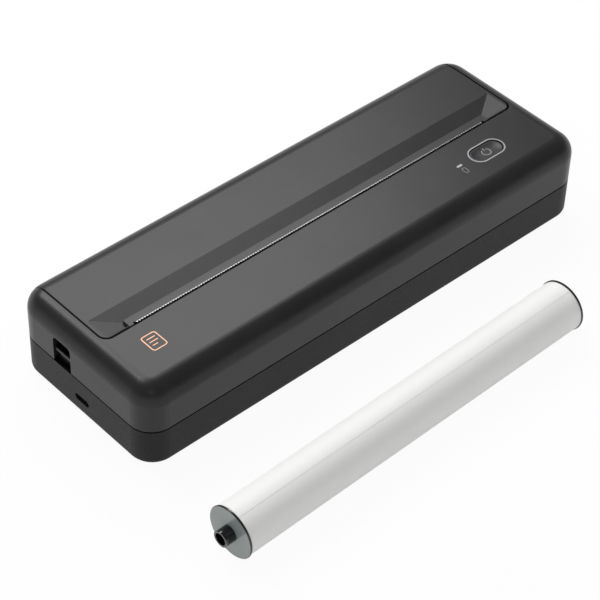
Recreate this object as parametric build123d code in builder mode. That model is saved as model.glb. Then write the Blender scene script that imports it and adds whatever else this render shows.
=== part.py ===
from build123d import *
from math import acos, atan2, cos, degrees, pi, radians, sin, tan
import os

# A portable thermal printer for A4 paper: a two-part moulded case with a hinged lid over the
# paper bay, a platen roller that rides in the lid, a print head and gear train in the base, and
# a roll of paper that lies in front of the case.
#
# Millimetres. +X runs along the case to the power button, +Y to the hinge, +Z up. Heights are
# taken from the case's underside; the files stand on the table, the feet's height higher.

# ---------------------------------------------------------------- what sets the case's length
paper_width = 210.0
paper_offset = -1.2       # middle of the paper path along X
side_room = 3.0           # from the paper's edge to the roller's end and the bay's end
plate_room = 3.6          # from the roller's end to the side plates
drive_room = 17.9         # from the side plates to the lid's ends
end_cap = 9.5             # from the lid's ends to the case's ends

# ---------------------------------------------------------------- what sets its depth and height
deck_depth = 40.95        # from the case's front to the lid's front edge
lid_lip = 7.8             # from the lid's front edge to the roller's axis
platen_radius = 5.5
roll_gap = 0.9            # between the roller and the paper bay
bay_radius = 16.0
bay_wall = 1.5
bay_back = 4.15           # from the paper bay to the case's rear
bay_lift = 0.5            # from the floor to the paper bay
platen_rise = 14.0        # from the bay's axis up to the roller's
frame_gap = 1.2           # between the roller and the lid's frame
frame_thickness = 1.6
lid_front_plate = 3.5

# ---------------------------------------------------------------- case
seam_height = 20.9
corner_radius = 12.5
top_radius = 9.8
bottom_radius = 3.0
wall = 2.2
floor = 2.2
reveal = 0.7              # open groove between the two shells
tongue_gap = 2.4          # from the tongue's ends to the slider's window
tongue_height = 1.6
tongue_clearance = 0.15
boss_inset_x = 5.8
boss_inset_y = 16.15
boss_radius = 3.6
flange_wall = 2.0
flange_depth = 20.0       # how far the walls round the lid's opening reach down

# ---------------------------------------------------------------- feet and case screws
foot_radius = 4.5
foot_stand = 0.8          # the feet's height under the case
foot_recess = 0.7
foot_clearance = 0.1
foot_inset_x = 23.0
foot_inset_y = 11.15
screw_shank = 1.2
screw_head = 2.2
screw_head_height = 1.6
screw_seat = 12.0         # height of the face that the heads pull on
screw_bite = 6.0          # thread length in the upper shell
screw_socket = 1.1
screw_clearance = 0.2

# ---------------------------------------------------------------- lid
lid_gap = 0.6
paper_slot = 0.9          # the gap that the printed sheet leaves through
lid_edge = 0.35           # bevel round the lid's top face
lid_corner = 4.5
lid_wall = 2.0
lid_skirt = 8.0
basin_run = 10.0          # slope from the tear bar up to the lid's top face
basin_inset = 1.8         # from the basin's ends to the lid's ends
basin_depth = 1.5
rim = 0.7                 # level border in front of the basin's end slopes
rib_thickness = 1.2
barrel_radius = 2.85
hinge_rise = 7.1          # from the seam up to the hinge's axis
hinge_clearance = 0.35
knuckle_inset = 17.5      # the case's hinge knuckles, from the lid's ends
knuckle_width = 6.0
knuckle_gap = 0.3
pin_radius = 1.0
pin_reach = 8.0           # how far each pin runs into the barrel on either side
running_fit = 0.05
seat_fit = 0.02

# ---------------------------------------------------------------- tear bar
bar_margin = 9.0          # past the paper's edge
bar_width = 4.9
bar_thickness = 1.8
tooth_height = 0.7
tooth_depth = 0.8
tooth_pitch = 1.5
bar_end = 3.75            # plain length at each end of the teeth
bar_notch = 1.2           # clear gap beside the first and last tooth

# ---------------------------------------------------------------- platen roller and its bearings
shaft_radius = 2.0
plate_thickness = 1.2
plate_rise = 2.3          # side plates' height above the roller's axis
ear_gap = 1.4
ear_thickness = 3.0
ear_radius = 5.6
bush_radius = 3.5
bush_flange = 4.7
bush_flange_thickness = 1.0
notch_clearance = 0.35

# ---------------------------------------------------------------- gear train
train_module = 0.6
motor_module = 0.5
platen_teeth = 24
idler_teeth = 22
small_teeth = 16
large_teeth = 34
pinion_teeth = 12
backlash = 0.12
gear_width = 3.0
layer_gap = 1.0
post_radius = 1.25
reduction_angle = 203.0   # direction from the idler to the reduction gear
motor_angle = 198.2       # direction from the reduction gear to the motor
motor_radius = 9.5
motor_length = 17.0
motor_boss = 3.0
motor_shaft_radius = 1.0

# ---------------------------------------------------------------- print head
head_gap = 0.3            # paper's room between head and roller
head_board_thickness = 1.0
head_below = 7.2          # the head board's reach below and above the roller's axis
head_above = 3.2
head_overhang = 0.6       # past the roller's ends
sink_thickness = 3.0
sink_below = 12.2
groove_depth = 1.4
bracket_thickness = 1.2
spring_length = 5.2
head_spring_radius = 2.2
spring_wire = 0.5
spring_drop = 3.2         # head springs' axes below the roller's axis
spring_count = 3
beam_thickness = 1.5
plate_side_gap = 0.3

# ---------------------------------------------------------------- paper bay
bay_end_wall = 2.0
bay_rim_rise = 3.8
leg_spacing = 64.0
guide_gap = 1.5           # room for the paper under the roller
guide_wall = 1.2

# ---------------------------------------------------------------- battery
cell_radius = 9.2
cell_length = 65.0
cell_link = 2.0           # nickel link between the two cells
cell_room = 1.35          # from the front wall to the sleeve
cell_lift = 0.4
cell_inset = 67.0         # from the case's end to the first cell
sleeve_wall = 0.4
cell_fit = 0.05
cradle_thickness = 1.5

# ---------------------------------------------------------------- boards, button and lights
button_inset_x = 44.1     # from the case's end
button_inset_y = 24.45    # from the case's front
button_length = 19.4
button_width = 9.7
button_gap = 0.25
ring_width = 0.85
ring_height = 1.6
button_sink = 0.35        # the cap's rim under the top face
button_travel = 0.5
button_dish = 0.45
button_collar = 1.2
light_step = 18.6         # from the button to the lights
light_slot_length = 3.4
light_slot_width = 1.3
link_light_radius = 0.6
lamp_height = 0.7
board_thickness = 1.6
board_drop = 8.3          # from the top face to the main board
board_length = 78.0
board_depth = 23.0
board_shift_x = 15.9      # the board's middle from the button
board_shift_y = 8.3
board_boss_radius = 2.0
switch_width = 6.0
switch_body = 2.4
plunger_radius = 1.7
usb_step = 7.2            # from the release window to the charging port
usb_z = 9.64
usb_slot_length = 10.0
usb_slot_height = 3.6
usb_body_length = 9.0
usb_body_height = 3.2
usb_body_depth = 7.3
usb_board_thickness = 1.0
usb_post_radius = 1.7
usb_post_back = 7.0       # the posts ahead of and behind the socket's middle
usb_post_fore = 2.6

# ---------------------------------------------------------------- release slider and latch
rod_radius = 2.0
rod_clearance = 0.44      # between the latch shaft and the paper bay
rod_angle = 214.2         # direction from the bay's axis to the latch shaft
window_ahead = 1.5        # the window's front edge ahead of the latch shaft
window_width = 12.5
window_rise = 15.0
window_radius = 2.5
slider_gap = 0.4
slider_thickness = 3.1
slider_rise = 8.1         # from the seam to the thumb ledge
slider_drop = 1.3         # from the seam down to the slider's foot
slider_reach = 1.7        # how far the thumb ledge stands out
slider_plate = 1.2
slider_travel = 3.0
slider_post_radius = 1.45 # post that the slider's spring stands on
slider_spring_radius = 1.15
slider_spring_wire = 0.2
crank_reach = 11.0
crank_half_height = 1.2
crank_gap = 0.3
crank_width = 2.4
stem_depth = 2.2
hook_width = 3.0
hook_height = 20.0
hook_lean = 2.2           # the nose's reach ahead of the latch shaft's axis
hook_gap = 0.7            # between the hooks and the roller's shaft
catch_gap = 0.3
catch_depth = 4.0
catch_drop = 5.0          # how far the catch hangs below the hook's top

# ---------------------------------------------------------------- paper roll in front of the case
roll_left = -141.2        # middle of the left end disc's outer face
roll_ahead = 57.7         # that point's distance from the case's front
roll_turn = 1.2
paper_radius = 12.7
core_radius = 6.4
core_wall = 0.9
flange_radius = 13.2
flange_thickness = 1.2
hub_radius = 4.1
hub_bore = 3.1
hub_length = 5.6
hub_plug = 9.0

# ---------------------------------------------------------------- worked-out places
platen_half = paper_width / 2 + side_room
plate_half = platen_half + plate_room
lid_half = plate_half + drive_room
case_length = 2 * (lid_half + end_cap)
bay_outer = bay_radius + bay_wall
case_depth = deck_depth + lid_lip + platen_radius + roll_gap + 2 * bay_outer + bay_back
lid_front = deck_depth - case_depth / 2
platen_y = lid_front + lid_lip
bay_y = platen_y + platen_radius + roll_gap + bay_outer
bay_z = floor + bay_lift + bay_outer
platen_z = bay_z + platen_rise
frame_low = platen_z + platen_radius + frame_gap
plate_under = frame_low + frame_thickness
case_height = plate_under + lid_front_plate
deck_under = case_height - wall

lower_rim = seam_height - reveal / 2
upper_rim = seam_height + reveal / 2
opening_half = lid_half + lid_gap
opening_front = lid_front - paper_slot
flange_low = case_height - flange_depth
lid_step = platen_y + ear_radius + 3.3      # where the thick front plate ends
bar_back = lid_front + bar_width
bar_half = paper_width / 2 + bar_margin
basin_back = bar_back + basin_run
basin_end = lid_half - basin_inset
hinge_y = case_depth / 2 - barrel_radius
hinge_z = seam_height + hinge_rise
knuckle_x = lid_half - knuckle_inset
rear_wall_top = hinge_z - barrel_radius - hinge_clearance
inner_rear = case_depth / 2 - wall
frame_back = hinge_y - barrel_radius - 5.45

left_plate_face = paper_offset - plate_half
right_plate_face = paper_offset + plate_half
plate_top = platen_z + plate_rise
ear_start = plate_half + plate_thickness + ear_gap
bush_end = ear_start + ear_thickness + 0.2
gear_layer_out = paper_offset + bush_end + 0.6
gear_layer_in = right_plate_face + plate_thickness + layer_gap
gear_end = gear_layer_out + gear_width
shaft_left = paper_offset - bush_end - 1.4
shaft_right = gear_end + 0.8
left_hook_x = shaft_left - hook_gap - hook_width / 2
right_hook_x = shaft_right + hook_gap + hook_width / 2

head_top = platen_z + head_above
bay_rim = bay_z + bay_rim_rise
cell_y = -case_depth / 2 + wall + cell_room + sleeve_wall + cell_radius
cell_z = floor + cell_lift + sleeve_wall + cell_radius
cell_start = -case_length / 2 + cell_inset
cell_end = cell_start + 2 * cell_length + cell_link
button_x = case_length / 2 - button_inset_x
button_y = -case_depth / 2 + button_inset_y
light_x = button_x - light_step
battery_light_y = button_y + 0.1
link_light_y = button_y - 4.1
board_x = button_x - board_shift_x
board_y = button_y - board_shift_y
board_top = case_height - board_drop
roll_axis_z = flange_radius - foot_stand
over = 5.0                # how far a cutting block runs past what it cuts


# ---------------------------------------------------------------- helpers
def yz(x):
    """Plane across the case at x. Its own axes are Y and Z, and it faces +X."""
    return Plane.YZ.offset(x)


def rounded_block(inset, low, high):
    """The case's form drawn in by inset, from low up to high, with its rounded top edge."""
    with BuildPart() as block:
        with BuildSketch(Plane.XY.offset(low)):
            RectangleRounded(case_length - 2 * inset, case_depth - 2 * inset, corner_radius - inset)
        extrude(amount=high - low)
        fillet(block.edges().group_by(Axis.Z)[-1], top_radius - inset)
    return block.part


def lid_prism(half, front, radius, low):
    """A column with the lid's plan: two rounded front corners, and open towards the rear."""
    back = case_depth / 2 + over
    with BuildPart() as prism:
        with BuildSketch(Plane.XY.offset(low)) as plan:
            with Locations((0, (front + back) / 2)):
                Rectangle(2 * half, back - front)
            fillet(plan.vertices().group_by(Axis.Y)[0], radius)
        extrude(amount=case_height + over - low)
    return prism.part


def block(low_corner, high_corner, mode=Mode.ADD):
    """A plain block between two corners, in the part that is being built."""
    size = [high - low for low, high in zip(low_corner, high_corner)]
    middle = [(high + low) / 2 for low, high in zip(low_corner, high_corner)]
    with Locations(tuple(middle)):
        Box(*size, mode=mode)


def x_bar(centre, radius, start, end, mode=Mode.ADD):
    """A round bar along X between two stations, about a (y, z) centre."""
    with Locations(((start + end) / 2, *centre)):
        Cylinder(radius, abs(end - start), rotation=(0, 90, 0), mode=mode)


def involute(angle):
    return tan(angle) - angle


def gear_points(teeth, module, turn):
    """Outline of a stub-tooth involute gear whose first tooth points at turn, in radians."""
    pitch_radius = teeth * module / 2
    base_radius = pitch_radius * cos(radians(20))
    root_radius = pitch_radius - 1.1 * module
    tip_radius = pitch_radius + 0.8 * module
    half_pitch_angle = pi / (2 * teeth) - backlash / (2 * pitch_radius)
    flank_start = max(base_radius, root_radius)

    def half_angle(radius):
        pressure = acos(min(1.0, base_radius / radius))
        return half_pitch_angle + involute(radians(20)) - involute(pressure)

    radii = [flank_start, pitch_radius, tip_radius]
    flank = [(radius, half_angle(radius)) for radius in radii]
    if root_radius < flank_start - 0.02:
        flank = [(root_radius, half_angle(flank_start))] + flank
    points = []
    for tooth in range(teeth):
        middle = turn + 2 * pi * tooth / teeth
        rising = [(radius, middle - angle) for radius, angle in flank]
        falling = [(radius, middle + angle) for radius, angle in reversed(flank)]
        points += [(radius * cos(angle), radius * sin(angle)) for radius, angle in rising + falling]
    return points


def mesh_turn(turn_a, teeth_a, centre_a, teeth_b, centre_b):
    """The turn of gear b that puts its gap on gear a's tooth along the line of centres."""
    line = atan2(centre_b[1] - centre_a[1], centre_b[0] - centre_a[0])
    share_a = (line - turn_a) * teeth_a / (2 * pi)
    share_b = 0.5 - share_a
    return line + pi - share_b * 2 * pi / teeth_b


def step_from(point, distance, angle):
    """The point at a distance and an angle, in degrees, from another."""
    return (point[0] + distance * cos(radians(angle)), point[1] + distance * sin(radians(angle)))


# ---------------------------------------------------------------- gear centres, in (y, z)
platen = (platen_y, platen_z)
hinge = (hinge_y, hinge_z)
rod = step_from((bay_y, bay_z), bay_outer + rod_clearance + rod_radius, rod_angle)
rod_y, rod_z = rod
opening_angle = degrees(atan2(hinge_y - platen_y, platen_z - hinge_z))
idler_distance = (platen_teeth + idler_teeth) * train_module / 2
reduction_distance = (idler_teeth + small_teeth) * train_module / 2
motor_distance = (large_teeth + pinion_teeth) * motor_module / 2
idler = step_from(platen, idler_distance, opening_angle + 180)
reduction = step_from(idler, reduction_distance, reduction_angle)
motor = step_from(reduction, motor_distance, motor_angle)
idler_turn = mesh_turn(0, platen_teeth, platen, idler_teeth, idler)
small_turn = mesh_turn(idler_turn, idler_teeth, idler, small_teeth, reduction)
pinion_turn = mesh_turn(0, large_teeth, reduction, pinion_teeth, motor)



def corners(inset_x, inset_y):
    """Four places, this far in from the case's ends and from its front and rear."""
    return [(sx * (case_length / 2 - inset_x), sy * (case_depth / 2 - inset_y))
            for sx in (-1, 1) for sy in (-1, 1)]


boss_places = corners(boss_inset_x, boss_inset_y)
foot_places = corners(foot_inset_x, foot_inset_y) + [(0, 0)]

# release window, slider and latch
window_front = rod_y - window_ahead
window_back = window_front + window_width
window_y = (window_front + window_back) / 2
window_top = seam_height + window_rise
slider_ledge = seam_height + slider_rise
slider_low = seam_height - slider_drop
usb_y = window_front - usb_step
hook_top = rod_z + hook_height
hook_tip = rod_y - hook_lean
catch_low = hook_top - catch_drop

# ---------------------------------------------------------------- lower case
cradle_places = [cell_start + share * (cell_end - cell_start) for share in (0.06, 0.36, 0.64, 0.94)]
usb_board_top = usb_z - usb_body_height / 2
usb_board_low = usb_board_top - usb_board_thickness
usb_mouth = -case_length / 2 + wall - 0.9
usb_post_x = usb_mouth + usb_body_depth + 8.5
usb_posts = [(usb_post_x, usb_y - usb_post_back), (usb_post_x, usb_y + usb_post_fore)]
slider_spring_x = -case_length / 2 + wall + slider_thickness / 2 + 0.3
slider_spring_y = window_front + 3.3
slider_spring_foot = rod_z + 2.0

with BuildPart() as lower_case:
    with BuildSketch(Plane.XY):
        RectangleRounded(case_length, case_depth, corner_radius)
    extrude(amount=lower_rim)
    fillet(lower_case.edges().group_by(Axis.Z)[0], bottom_radius)
    with BuildSketch(Plane.XY.offset(floor)):
        RectangleRounded(case_length - 2 * wall, case_depth - 2 * wall, corner_radius - wall)
    extrude(amount=case_height, mode=Mode.SUBTRACT)
    # tongue that closes the reveal from inside
    tongue_inset = wall / 2 + tongue_clearance
    with BuildSketch(Plane.XY.offset(lower_rim)):
        RectangleRounded(case_length - 2 * tongue_inset, case_depth - 2 * tongue_inset,
                         corner_radius - tongue_inset)
        RectangleRounded(case_length - 2 * wall, case_depth - 2 * wall, corner_radius - wall,
                         mode=Mode.SUBTRACT)
    extrude(amount=reveal + tongue_height)
    block((-case_length / 2, window_front - tongue_gap, lower_rim),
          (-case_length / 2 + over, window_back + tongue_gap, case_height), mode=Mode.SUBTRACT)
    # screw bosses, with a deep recess for each head
    with BuildSketch(Plane.XY.offset(floor)):
        with Locations(*boss_places):
            Circle(boss_radius)
    extrude(amount=seam_height - floor)
    with BuildSketch(Plane.XY):
        with Locations(*boss_places):
            Circle(screw_head + screw_clearance)
    extrude(amount=screw_seat, mode=Mode.SUBTRACT)
    with BuildSketch(Plane.XY.offset(screw_seat)):
        with Locations(*boss_places):
            Circle(screw_shank + screw_clearance)
    extrude(amount=seam_height, mode=Mode.SUBTRACT)
    # recesses for the feet
    with BuildSketch(Plane.XY):
        with Locations(*foot_places):
            Circle(foot_radius + foot_clearance)
    extrude(amount=foot_recess, mode=Mode.SUBTRACT)
    # cradles under the battery
    for place in cradle_places:
        with BuildSketch(yz(place - cradle_thickness / 2)):
            with Locations((cell_y, (floor + cell_z) / 2 - 1)):
                Rectangle(2 * (cell_radius + sleeve_wall + 1), cell_z - floor - 1)
            with Locations((cell_y, cell_z)):
                Circle(cell_radius + sleeve_wall + cell_fit, mode=Mode.SUBTRACT)
        extrude(amount=cradle_thickness)
    # posts for the charging board and the slider's spring
    with BuildSketch(Plane.XY.offset(floor)):
        with Locations(*usb_posts):
            Circle(usb_post_radius)
    extrude(amount=usb_board_low - floor)
    with BuildSketch(Plane.XY.offset(floor)):
        with Locations((slider_spring_x, slider_spring_y)):
            Circle(slider_post_radius)
    extrude(amount=slider_spring_foot - floor)
    # mouth of the charging port
    with BuildSketch(yz(-case_length / 2 - 1)):
        with Locations((usb_y, usb_z)):
            SlotOverall(usb_slot_length, usb_slot_height)
    extrude(amount=wall + 2, mode=Mode.SUBTRACT)
lower_case.part.label = "lower_case"

with BuildPart() as rubber_feet:
    with BuildSketch(Plane.XY.offset(foot_recess)):
        with Locations(*foot_places):
            Circle(foot_radius)
    extrude(amount=-(foot_recess + foot_stand))
    chamfer(rubber_feet.edges().group_by(Axis.Z)[0], 0.3)
rubber_feet.part.label = "rubber_feet"

with BuildPart() as case_screws:
    with BuildSketch(Plane.XY.offset(screw_seat)):
        with Locations(*boss_places):
            Circle(screw_head)
    extrude(amount=-screw_head_height)
    with BuildSketch(Plane.XY.offset(screw_seat)):
        with Locations(*boss_places):
            Circle(screw_shank)
    extrude(amount=seam_height + screw_bite - screw_seat)
    with BuildSketch(Plane.XY.offset(screw_seat - screw_head_height)):
        with Locations(*boss_places):
            RegularPolygon(screw_socket, 6)
    extrude(amount=screw_head_height * 0.6, mode=Mode.SUBTRACT)
case_screws.part.label = "case_screws"

# ---------------------------------------------------------------- upper case
board_boss_places = [(board_x + sx * (board_length / 2 - 4), board_y + sy * (board_depth / 2 - 3.5))
                     for sx in (-1, 1) for sy in (-1, 1)]
slot_wall_low = head_top + 0.6
opening = lid_prism(opening_half, opening_front, lid_corner + lid_gap, rear_wall_top)

with BuildPart() as opening_flange:
    add(rounded_block(wall / 2, flange_low, case_height - wall / 2))
    add(lid_prism(opening_half + flange_wall, opening_front - flange_wall,
                  lid_corner + lid_gap + flange_wall, flange_low), mode=Mode.INTERSECT)
    block((-opening_half, opening_front - flange_wall - 1, flange_low - 1),
          (opening_half, opening_front + over, slot_wall_low), mode=Mode.SUBTRACT)

with BuildPart() as upper_case:
    add(rounded_block(0, upper_rim, case_height))
    add(rounded_block(wall, upper_rim - 1, case_height - wall), mode=Mode.SUBTRACT)
    add(opening_flange.part)
    # rebate over the lower shell's tongue
    with BuildSketch(Plane.XY.offset(upper_rim)):
        RectangleRounded(case_length - wall, case_depth - wall, corner_radius - wall / 2)
        RectangleRounded(case_length - 2 * wall, case_depth - 2 * wall, corner_radius - wall,
                         mode=Mode.SUBTRACT)
    extrude(amount=tongue_height + tongue_clearance, mode=Mode.SUBTRACT)
    # screw bosses under the top
    with BuildSketch(Plane.XY.offset(seam_height)):
        with Locations(*boss_places):
            Circle(boss_radius - 0.4)
    extrude(amount=deck_under - 1 - seam_height)
    with BuildSketch(Plane.XY.offset(seam_height)):
        with Locations(*boss_places):
            Circle(screw_shank + seat_fit)
    extrude(amount=screw_bite + 1, mode=Mode.SUBTRACT)
    # bosses that the main board hangs from
    with BuildSketch(Plane.XY.offset(board_top)):
        with Locations(*board_boss_places):
            Circle(board_boss_radius)
    extrude(amount=deck_under + 0.5 - board_top)
    add(opening, mode=Mode.SUBTRACT)
    # hinge knuckles on the low rear wall
    for place in (-knuckle_x, knuckle_x):
        x_bar(hinge, barrel_radius, place - knuckle_width / 2, place + knuckle_width / 2)
        block((place - knuckle_width / 2, inner_rear, rear_wall_top - 1),
              (place + knuckle_width / 2, case_depth / 2, hinge_z))
        x_bar(hinge, pin_radius + seat_fit, place - knuckle_width, place + knuckle_width,
              mode=Mode.SUBTRACT)
    # guide ribs and window of the release slider
    with BuildSketch(Plane.XY.offset(upper_rim)):
        with Locations((-case_length / 2 + wall + 1.8, window_front - slider_gap - 0.8),
                       (-case_length / 2 + wall + 1.8, window_back + slider_gap + 0.8)):
            Rectangle(3.8, 1.2)
    extrude(amount=window_top + 2 - upper_rim)
    with BuildSketch(yz(-case_length / 2 - 1)) as window:
        with Locations((window_y, (window_top + upper_rim - over) / 2)):
            Rectangle(window_back - window_front, window_top - upper_rim + over)
        fillet(window.vertices().group_by(Axis.Z)[-1], window_radius)
    extrude(amount=wall + 1.01, mode=Mode.SUBTRACT)
    # hole and ring seat of the power button
    with BuildSketch(Plane.XY.offset(case_height)):
        with Locations((button_x, button_y)):
            SlotOverall(button_length + 2 * button_gap, button_width + 2 * button_gap)
    extrude(amount=-2 * wall, mode=Mode.SUBTRACT)
    with BuildSketch(Plane.XY.offset(case_height)):
        with Locations((button_x, button_y)):
            SlotOverall(button_length + 2 * (button_gap + ring_width + seat_fit),
                        button_width + 2 * (button_gap + ring_width + seat_fit))
    extrude(amount=-ring_height, mode=Mode.SUBTRACT)
    # holes of the two lights
    with BuildSketch(Plane.XY.offset(case_height)):
        with Locations((light_x, battery_light_y)):
            SlotOverall(light_slot_length + 2 * seat_fit, light_slot_width + 2 * seat_fit)
        with Locations((light_x, link_light_y)):
            Circle(link_light_radius + seat_fit)
    extrude(amount=-2 * wall, mode=Mode.SUBTRACT)
upper_case.part.label = "upper_case"

# ---------------------------------------------------------------- lid
bar_left = paper_offset - bar_half
bar_right = paper_offset + bar_half
skirt_low = case_height - lid_skirt
lid_rib_places = [share * lid_half for share in (-0.74, -0.37, 0, 0.37, 0.74)]

with BuildPart() as ramp_cut:
    with BuildSketch(yz(-lid_half)):
        with BuildLine():
            Polyline((basin_back, case_height), (bar_back, case_height - basin_depth),
                     (bar_back, case_height + 1), (basin_back, case_height + 1), close=True)
        make_face()
    extrude(amount=2 * lid_half)
    with BuildSketch(Plane.XZ.offset(-basin_back)):
        with BuildLine():
            left_run = basin_end + bar_left
            right_run = basin_end - bar_right
            Polyline((-basin_end, case_height), (bar_left + left_run, case_height - 2 * basin_depth),
                     (bar_right - right_run, case_height - 2 * basin_depth),
                     (basin_end, case_height), (basin_end, case_height + 1),
                     (-basin_end, case_height + 1), close=True)
        make_face()
    extrude(amount=basin_back - bar_back, mode=Mode.INTERSECT)

with BuildPart() as lid_hollow:
    add(rounded_block(wall, hinge_z - 1, case_height - lid_wall))
    block((-lid_half + lid_wall, lid_step, 0), (lid_half - lid_wall, case_depth, case_height),
          mode=Mode.INTERSECT)

with BuildPart() as lid_shell:
    add(rounded_block(0, hinge_z, case_height))
    add(lid_prism(lid_half, lid_front, lid_corner, hinge_z - 1), mode=Mode.INTERSECT)
    # fine bevel round the front and both ends of the top face
    top_edges = lid_shell.edges().group_by(Axis.Z)[-1]
    chamfer(top_edges.filter_by(lambda edge: edge.center().Y < case_depth / 2 - top_radius - 1), lid_edge)
    # hollow: a thick front plate over the roller, thinner behind it
    with BuildSketch(Plane.XY.offset(hinge_z - 1)):
        with Locations((0, (lid_front + lid_step) / 2 - over / 2)):
            Rectangle(2 * (lid_half - lid_wall), lid_step - lid_front + over)
    extrude(amount=plate_under - hinge_z + 1, mode=Mode.SUBTRACT)
    add(lid_hollow.part, mode=Mode.SUBTRACT)
    block((-case_length, lid_front - 1, 0), (case_length, inner_rear, skirt_low), mode=Mode.SUBTRACT)
    # sloped basin behind the tear bar, and its end slopes beside the bar
    add(ramp_cut.part, mode=Mode.SUBTRACT)
    for bar_side, basin_side in ((bar_left, -basin_end), (bar_right, basin_end)):
        with BuildSketch(Plane.XZ.offset(-bar_back)):
            with BuildLine():
                Polyline((basin_side, case_height), (bar_side, case_height - basin_depth),
                         (bar_side, case_height + 1), (basin_side, case_height + 1), close=True)
            make_face()
        extrude(amount=bar_back - lid_front - rim, mode=Mode.SUBTRACT)
    # seat of the tear bar
    block((bar_left - seat_fit, lid_front - 1, case_height - bar_thickness),
          (bar_right + seat_fit, bar_back + seat_fit, case_height + 1), mode=Mode.SUBTRACT)
    # ribs that carry the inner frame
    for place in lid_rib_places:
        block((place - rib_thickness / 2, lid_step - 1, plate_under),
              (place + rib_thickness / 2, frame_back, case_height - lid_wall + 0.5))
    # hinge barrel along the lower rear edge, parted at the knuckles and bored for the pins
    x_bar(hinge, barrel_radius, -lid_half, lid_half)
    add(rounded_block(0, hinge_z - barrel_radius - 1, case_height), mode=Mode.INTERSECT)
    for place in (-knuckle_x, knuckle_x):
        half_room = knuckle_width / 2 + knuckle_gap
        block((place - half_room, hinge_y - barrel_radius - 2, hinge_z - barrel_radius - 1),
              (place + half_room, case_depth / 2 + 1, hinge_z + barrel_radius + 0.4),
              mode=Mode.SUBTRACT)
        x_bar(hinge, pin_radius + running_fit, place - half_room - pin_reach - 0.5,
              place + half_room + pin_reach + 0.5, mode=Mode.SUBTRACT)
lid_shell.part.label = "lid_shell"

with BuildPart() as tear_bar:
    tooth_count = int(2 * (bar_half - bar_end) / tooth_pitch)
    first_tooth = paper_offset - tooth_count * tooth_pitch / 2
    root = lid_front + tooth_depth
    serration = []
    for tooth in range(tooth_count):
        start = first_tooth + tooth * tooth_pitch
        serration += [(start, root), (start + tooth_pitch / 2, lid_front)]
    last_root = first_tooth + tooth_count * tooth_pitch
    with BuildSketch(Plane.XY.offset(case_height)):
        with BuildLine():
            Polyline((bar_left, bar_back), (bar_left, lid_front),
                     (first_tooth - bar_notch, lid_front), (first_tooth - bar_notch, root + 0.3),
                     (first_tooth, root + 0.3), *serration, (last_root, root),
                     (last_root, root + 0.3), (last_root + bar_notch, root + 0.3),
                     (last_root + bar_notch, lid_front), (bar_right, lid_front),
                     (bar_right, bar_back), close=True)
        make_face()
    extrude(amount=-tooth_height)
    with BuildSketch(Plane.XY.offset(case_height - tooth_height)):
        with Locations((paper_offset, (bar_back + root + 0.3) / 2)):
            Rectangle(2 * bar_half, bar_back - root - 0.3)
    extrude(amount=-(bar_thickness - tooth_height))
tear_bar.part.label = "tear_bar"

with BuildPart() as hinge_pins:
    pin_half = knuckle_width / 2 + knuckle_gap + pin_reach
    for place in (-knuckle_x, knuckle_x):
        x_bar(hinge, pin_radius, place - pin_half, place + pin_half)
hinge_pins.part.label = "hinge_pins"

# ---------------------------------------------------------------- frame inside the lid
frame_half = lid_half - lid_wall - 0.5
frame_front = lid_front + 1.2
gear_out_radius = (platen_teeth / 2 + 0.8) * train_module
left_ear_x = paper_offset - ear_start - ear_thickness
right_ear_x = paper_offset + ear_start
window_pitch = frame_half * 0.38
frame_windows = [(share * window_pitch, (lid_step + frame_back) / 2) for share in (-1.5, -0.5, 0.5, 1.5)]

with BuildPart() as lid_frame:
    with BuildSketch(Plane.XY.offset(frame_low)):
        with Locations((0, (frame_front + frame_back) / 2)):
            Rectangle(2 * frame_half, frame_back - frame_front)
        # long windows that keep the frame light
        with Locations(*frame_windows):
            RectangleRounded(window_pitch - 10, frame_back - lid_step - 6, 2, mode=Mode.SUBTRACT)
    extrude(amount=frame_thickness)
    block((gear_layer_out - 0.5, frame_front - 1, frame_low - 1),
          (gear_end + 0.5, platen_y + gear_out_radius + 0.6, plate_under + 1), mode=Mode.SUBTRACT)
    for ear_x in (left_ear_x, right_ear_x):
        with BuildSketch(yz(ear_x)):
            with Locations(platen):
                Circle(ear_radius)
            with BuildLine():
                Polyline((platen_y - ear_radius, platen_z), (frame_front, frame_low + 0.5),
                         (platen_y + ear_radius + 3, frame_low + 0.5),
                         (platen_y + ear_radius, platen_z), close=True)
            make_face()
            with Locations(platen):
                Circle(bush_radius + seat_fit, mode=Mode.SUBTRACT)
        extrude(amount=ear_thickness)
    # catches that hang in front of the latch hooks
    for catch_x in (left_hook_x, right_hook_x):
        with BuildSketch(yz(catch_x - hook_width / 2)):
            with BuildLine():
                catch_back = hook_tip - catch_gap
                catch_front = catch_back - catch_depth
                Polyline((catch_back, catch_low + 2), (catch_back, frame_low + 0.5),
                         (catch_front - 2, frame_low + 0.5), (catch_front, frame_low - 3),
                         (catch_front, catch_low), (catch_back - 1.4, catch_low), close=True)
            make_face()
        extrude(amount=hook_width)
lid_frame.part.label = "lid_frame"

# ---------------------------------------------------------------- platen roller
with BuildPart() as platen_bushings:
    for side in (-1, 1):
        inner = paper_offset + side * (plate_half - 0.4)
        outer = paper_offset + side * bush_end
        ear_face = paper_offset + side * ear_start
        x_bar(platen, bush_radius, inner, outer)
        x_bar(platen, bush_flange, ear_face, ear_face - side * bush_flange_thickness)
    x_bar(platen, shaft_radius + running_fit, -case_length / 2, case_length / 2, mode=Mode.SUBTRACT)
platen_bushings.part.label = "platen_bushings"

with BuildPart() as platen_shaft:
    x_bar(platen, shaft_radius, shaft_left, shaft_right)
    chamfer(platen_shaft.edges(), 0.3)
platen_shaft.part.label = "platen_shaft"

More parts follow.
